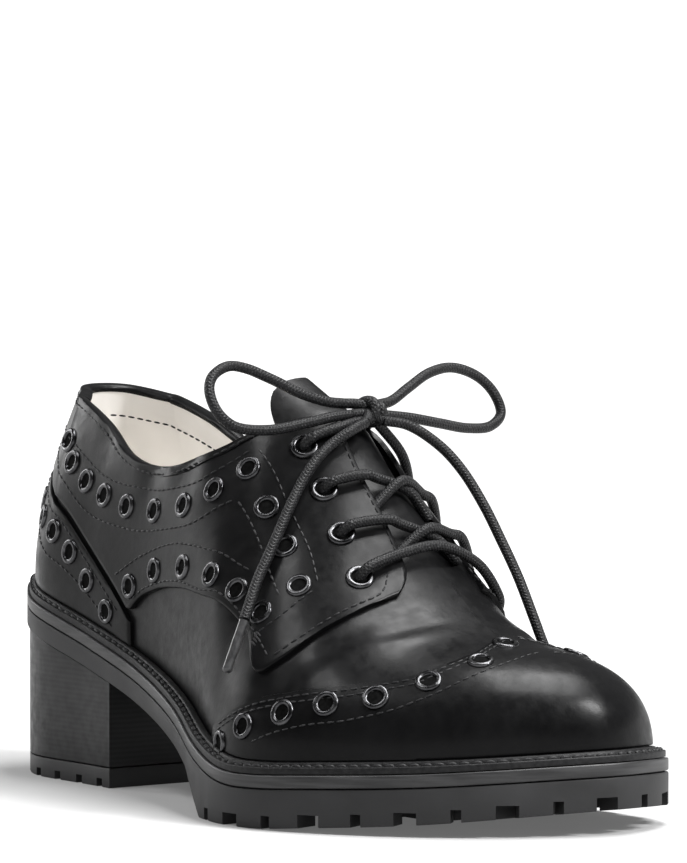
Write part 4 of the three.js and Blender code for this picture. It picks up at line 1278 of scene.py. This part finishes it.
# Stitch: a small pill from one point to another, half sunk
def pill(a, b, normal, radius):
    axis = b - a
    length = np.linalg.norm(axis)
    axis /= length
    normal = normal - axis * (normal @ axis)
    normal /= np.linalg.norm(normal)
    side = np.cross(axis, normal)
    verts = [a]
    rings = [(0.12, 0.72), (0.35, 1.0), (0.65, 1.0), (0.88, 0.72)]
    for share, wide in rings:
        for k in range(7):
            t = 2 * math.pi * k / 7
            verts.append(a + axis * length * share + (normal * math.cos(t) + side * math.sin(t)) * radius * wide)
    verts.append(b)
    faces = [(0, 1 + (k + 1) % 7, 1 + k) for k in range(7)]
    for r in range(3):
        for k in range(7):
            i, j = 1 + r * 7 + k, 1 + r * 7 + (k + 1) % 7
            faces.append((i, j, j + 7, i + 7))
    faces += [(29, 22 + k, 22 + (k + 1) % 7) for k in range(7)]
    return verts, faces


def seam_line(route, side, out, count=400):
    route = np.array([flat(p, side, u) for p, u in route])
    curve = smooth_curve(route, count)
    points, normals = [], []
    for x, y in curve:
        if side * y < 1e-6:
            y = side * 1e-6
        s, p, u = unflat(x, y)
        points.append(on_last(s, p, u, out))
        normals.append(lookup(s, p, u)[1])
    return np.array(points), np.array(normals)


def stitches(points, normals, pitch=2.9, length=2.25, radius=0.3):
    s = np.concatenate([[0], np.cumsum(np.linalg.norm(np.diff(points, axis=0), axis=1))])
    parts = []
    at = 0.4 * pitch
    while at + length < s[-1]:
        a = np.array([np.interp(at, s, points[:, k]) for k in range(3)])
        b = np.array([np.interp(at + length, s, points[:, k]) for k in range(3)])
        n = np.array([np.interp(at + length / 2, s, normals[:, k]) for k in range(3)])
        parts.append(pill(a, b, n, radius))
        at += pitch
    return parts


def sample(low, high, count, rise):
    return [(p, rise(p)) for p in np.linspace(low, high, count)]


# Seams as place and up; those from the fifth on are mirrored by their distance from the facing's edge
SEAMS = [
    [(-0.99, 0.2), (-0.6, 0.19), (-0.169, 0.172), (0.08, 0.114), (0.21, 0.041)],
    [(-0.99, 0.318), (-0.5, 0.302), (-0.124, 0.274), (0.028, 0.235), (0.112, 0.17), (0.225, 0.082)],
    [(0.209, 0.152), (0.284, 0.212), (0.379, 0.265), (0.493, 0.319), (0.585, 0.376), (0.626, 0.41)],
    [(0.268, 0.12), (0.31, 0.157), (0.37, 0.187), (0.45, 0.219), (0.535, 0.258), (0.63, 0.322),
     (0.672, 0.336), (0.742, 0.334)],
    [(-0.98, 0.44), (-0.5, 0.44), (0.039, 0.413), (0.157, 0.359), (0.257, 0.359), (0.351, 0.377),
     (0.447, 0.44), (0.505, 0.552), (0.531, 0.625)],
    [(-0.98, 0.4), (-0.5, 0.385), (0.016, 0.328), (0.112, 0.27), (0.209, 0.261), (0.317, 0.278),
     (0.447, 0.338), (0.545, 0.482)],
    [(0.545, 0.482), (0.578, 0.475), (0.62, 0.465), (0.699, 0.453)],
    [(0.531, 0.625), (0.609, 0.593), (0.642, 0.589), (0.686, 0.59), (0.735, 0.573)],
    [(0.738, 0.56), (0.721, 0.427), (0.7, 0.345)],
]
MIRRORED_FROM = 4
LOWER_SEAM = [
    (0.766, 0.088), (0.811, 0.136), (0.874, 0.191), (0.919, 0.227), (0.971, 0.299), (0.99, 0.346),
    (1.075, 0.458), (1.283, 0.7), (1.6, 0.86), (1.95, 0.9),
]


def all_stitches():
    on_panel = FIT + OVERLAY + 0.02
    parts = []
    for side in (LATERAL, MEDIAL):
        lines = list(SEAMS)
        for i in range(MIRRORED_FROM, len(lines)):
            lines[i] = [mirrored(place, up, side) for place, up in lines[i]]
        edge = sample(0.6, 0.77, 12, lambda p: up_beside(p, side, half_gap(p) + 1.3))
        front = [(0.774, 0.8), (0.8, 0.745), (0.797, 0.65), (0.778, 0.475), (0.749, 0.335)]
        wing_edge = []
        wing_two = []
        for foot in np.linspace(0.66, 1.95, 26):
            p, u = along(WING, foot, 1), min(0.998, along(WING, foot, 2))
            a = flat(foot, side, up_at_welt(foot, side))
            b = flat(p, side, u)
            back = (a - b) / np.linalg.norm(a - b)
            for bucket, distance in ((wing_edge, 1.7), (wing_two, 3.5)):
                q = b + back * min(distance, 0.6 * np.linalg.norm(a - b))
                s, pp, uu = unflat(q[0], q[1])
                bucket.append((pp, uu))
        lines += [edge, front, wing_edge, wing_two, LOWER_SEAM]
        for route in lines:
            points, normals = seam_line(route, side, on_panel)
            parts += stitches(points, normals)
        points, normals = [], []
        for p in np.linspace(-0.98, 0.56, 300):
            point, normal, down = collar_frame(p, side, up_at_collar(p, side))
            points.append(point + down * 1.9 + normal * (FIT + OVERLAY + 0.3))
            normals.append(normal)
        parts += stitches(np.array(points), np.array(normals))
        points = [p - n * (WALL + FIT + OVERLAY + 0.35) - np.array([0, 0, 6.5]) for p, n in zip(points, normals)]
        inside = stitches(np.array(points), -np.array(normals))
        obj = joined(f"lining_stitches_{'lateral' if side < 0 else 'medial'}", inside, MATERIALS["thread"], True)
        place_piece(obj, "lining")
    # Bar tack at the lower end of the facing's seam
    for k in range(4):
        up = 0.318 + 0.009 * k
        ends = [on_last(LATERAL, 0.696 + 0.014 * t, up + 0.004 * t, on_panel) for t in (0, 1)]
        parts.append(pill(ends[0], ends[1], lookup(LATERAL, 0.7, up)[1], 0.36))
    obj = joined("panel_stitches", parts, MATERIALS["thread"], True)
    place_piece(obj, "leather")


def welt_stitches(line, inward):
    points, normals = [], []
    for i in range(len(line)):
        q = line[i] + inward[i] * 1.35
        points.append((q[0], q[1], sole_top(q[0]) + WELT + 0.05))
        normals.append((0, 0, 1))
    points.append(points[0])
    normals.append(normals[0])
    parts = stitches(np.array(points, float), np.array(normals, float), 3.5, 3.3, 0.75)
    obj = joined("welt_stitches", parts, MATERIALS["thread"], True)
    place_piece(obj, "welt")


# Ring eyelets: a rolled flange, with a near-black disc over the hole as painted shade of the open hole
def eyelet_part(point, normal, outer, inner, height, sides=28):
    normal = normal / np.linalg.norm(normal)
    ahead = np.cross(normal, [0, 1.0, 0])
    ahead /= np.linalg.norm(ahead)
    other = np.cross(normal, ahead)
    mid, half = 0.5 * (outer + inner), 0.5 * (outer - inner)
    profile = [(outer, -0.2)]
    for a in np.linspace(0, math.pi, 8):
        profile.append((mid + half * math.cos(a), height * math.sin(a) ** 0.8 + 0.02))
    profile += [(inner, -0.9)]
    verts, faces, kinds = [], [], []
    m = len(profile)
    for k in range(sides):
        t = 2 * math.pi * k / sides
        for r, z in profile:
            verts.append(point + (ahead * math.cos(t) + other * math.sin(t)) * r + normal * z)
    for k in range(sides):
        for j in range(m - 1):
            n = (k + 1) % sides
            faces.append((k * m + j, n * m + j, n * m + j + 1, k * m + j + 1))
            kinds.append(0)
    # Disc that closes the hole just above the panel: painted shade of the open hole
    faces.append(tuple(len(verts) + k for k in range(sides)))
    kinds.append(1)
    for k in range(sides):
        t = 2 * math.pi * k / sides
        verts.append(point + (ahead * math.cos(t) + other * math.sin(t)) * (inner + 0.05) + normal * 0.12)
    return verts, faces, kinds


def eyelet_piece(name, seats, nodes=(), outer=3.9, inner=2.2, height=0.75):
    verts, faces, kinds = [], [], []
    for point, normal in seats:
        v, f, k = eyelet_part(point, normal, outer, inner, height)
        faces += [tuple(len(verts) + i for i in q) for q in f]
        verts += v
        kinds += k
    obj = make(name, shifted(verts), faces, [MATERIALS["gunmetal"], MATERIALS["hole"]], kinds, angle=45)
    place_piece(obj, "gunmetal", *nodes)


def on_panel_seat(side, place, up):
    point = on_last(side, place, up, FIT + OVERLAY)
    return point, lookup(side, place, up)[1]


def edge_reach(place, side):
    return abs(flat(place, side, up_beside(place, side, half_gap(place)))[1])


def eyelet_reach(row, side):
    return edge_reach(row[0], side) + row[1] * EYELET_SETBACK


# The facing's work lies equally far behind its edge on both sides
def mirrored(place, up, side):
    if side == LATERAL or place < 0.5 or up < 0.33:
        return place, up
    q = flat(place, LATERAL, up)
    behind = abs(q[1]) - edge_reach(place, LATERAL)
    return unflat(q[0], edge_reach(place, MEDIAL) + behind)[1:]


def eyelets():
    seats = []
    for side in (LATERAL, MEDIAL):
        for place, up in COLLAR_EYELETS + FACING_EYELETS:
            seats.append(on_panel_seat(side, *mirrored(place, up, side)))
        for place, up in ARC_EYELETS + HEEL_EYELETS + WING_EYELETS:
            seats.append(on_panel_seat(side, place, up))
    for side, place, up in WING_TOP_EYELETS:
        seats.append(on_panel_seat(side, place, up))
    eyelet_piece("brogue_eyelets", seats)
    for side, word in ((LATERAL, "outer"), (MEDIAL, "inner")):
        for i, row in enumerate(LACE_EYELETS):
            s, p, u = unflat(along_at(row[0]), side * eyelet_reach(row, side))
            eyelet_piece(f"lace_eyelet_{word}_{i + 1}", [on_panel_seat(s, p, u)], [f"eyelet_{word}_{i + 1}"],
                         outer=EYELET_OUTER, inner=EYELET_INNER, height=EYELET_RIM)


# Lace across the facings
IN_GAP = 0.5 * LACE + FIT - WALL - TONGUE_GAP
OVER_FACING = FIT + OVERLAY + FIT + 0.5 * LACE
OVER_RIM = OVER_FACING + EYELET_RIM
IN_HOLE = FIT + OVERLAY + EYELET_RIM + FIT


def strand(row, side, where, stops):
    reach = eyelet_reach(row, side)
    half = edge_reach(row[0], side)
    start = along_at(where)
    over = [(half + FIT, OVER_FACING + FIT), (reach - EYELET_OUTER, OVER_RIM),
            (reach - 0.55 * EYELET_OUTER, OVER_RIM - 0.3), (reach - 0.2, IN_HOLE - 0.6), (reach + 0.3, -0.4)]
    points = []
    for across, out in [*stops(half), *over]:
        y = side * across
        if abs(y) < 1e-6:
            y = side * 1e-6
        s, p, u = unflat(start + (along_at(row[0]) - start) * across / reach, y)
        points.append(on_last(s, p, u, out, soft=False))
    return points


def lace_piece(name, runs, node):
    objs = []
    for k, run in enumerate(runs):
        curve = smooth_curve(run, 90)
        objs.append(tube_mesh(f"{name}_{k}", shifted(curve), 0.5 * LACE, MATERIALS["cord"]))
    base = join(objs)
    base.name = name
    place_piece(base, "cord", node)


def join(objs):
    for o in bpy.context.selected_objects:
        o.select_set(False)
    for o in objs:
        o.select_set(True)
    bpy.context.view_layer.objects.active = objs[0]
    if len(objs) > 1:
        bpy.ops.object.join()
    return objs[0]


def crossing(row, lower):
    where = row[0] + 0.6 * (lower[0] - row[0])

    def stops(lifted):
        return lambda half: [(-half - 0.9, IN_GAP - 0.6), (2 * LACE - half, IN_GAP + FIT), (0, IN_GAP + lifted),
                             (half - LACE, OVER_FACING - 0.5 * LACE)]
    return [strand(row, LATERAL, where, stops(FIT)), strand(row, MEDIAL, where, stops(LACE - FIT))]


def lacing():
    low = LACE_EYELETS[3]
    one = strand(low, LATERAL, low[0], lambda half: [(0, OVER_FACING)])
    other = strand(low, MEDIAL, low[0], lambda half: [])
    lace_piece("lace_lowest_bar", [other[::-1] + one], "lace_bar")
    lace_piece("lace_low_cross", crossing(LACE_EYELETS[2], LACE_EYELETS[3]), "lace_crossing_low")
    lace_piece("lace_high_cross", crossing(LACE_EYELETS[1], LACE_EYELETS[2]), "lace_crossing_high")
    top = LACE_EYELETS[0]
    x, y, z = KNOT_CENTRE
    for side, node in ((LATERAL, "lace_rise_outer"), (MEDIAL, "lace_rise_inner")):
        under_knot = np.array([x + ORIGIN + 0.8, y + side * 2.4, z - 2.6])
        run = strand(top, side, top[0] + 0.02, lambda half: [])
        lace_piece(node + "_lace", [[under_knot] + run], node)


# Bow knot: wraps of the same lace round its middle
def knot():
    x, y, z = KNOT_CENTRE
    band = [(x + 3.0 * math.sin(a), y + 1.4 * math.sin(a + 0.6), z + 2.9 * math.cos(a))
            for a in np.linspace(0, 2 * math.pi, 14)]
    runs = [
        band,
        [(x + 3.3 * math.sin(a), y + 2.2 + 1.2 * math.sin(a), z - 0.6 + 2.9 * math.cos(a))
         for a in np.linspace(0.6, 2 * math.pi + 0.2, 14)],
        [OUTER_LOOP[0], (x - 1.8, y - 2.6, z + 2.1), (x - 0.6, y, z + 1.7), (x - 0.9, y + 2.8, z + 1.6),
         INNER_LOOP[0]],
        [OUTER_LOOP[-1], (x + 0.4, y - 2.8, z - 0.8), (x, y, z - 0.8), (x + 0.8, y + 2.8, z - 1.0), INNER_LOOP[-1]],
        [OUTER_END[0], (x + 2.9, y - 1.6, z - 1.9), (x + 0.8, y, z - 0.6), (x - 1.0, y + 0.8, z)],
        [INNER_END[0], (x + 2.6, y + 1.8, z - 2.0), (x + 0.8, y + 0.6, z - 0.8), (x - 0.8, y, z)],
    ]
    objs = []
    for k, run in enumerate(runs):
        radius = 0.5 * LACE * (1.0 if k else 1.05)
        objs.append(tube_mesh(f"knot_{k}", smooth_curve(run, 40), radius, MATERIALS["cord"]))
    base = join(objs)
    base.name = "bow_knot"
    place_piece(base, "cord", "lace_knot")


upper()
binding()
quarter(LATERAL, "outer_quarter", "quarter_outer")
quarter(MEDIAL, "inner_quarter", "quarter_inner")
counter()
wing_cap()
tongue()
heel_and_midsole()
outsole()
top_lift()
welt_line, welt_inward = welt()
welt_stitches(welt_line, welt_inward)
all_stitches()
eyelets()
lacing()
knot()
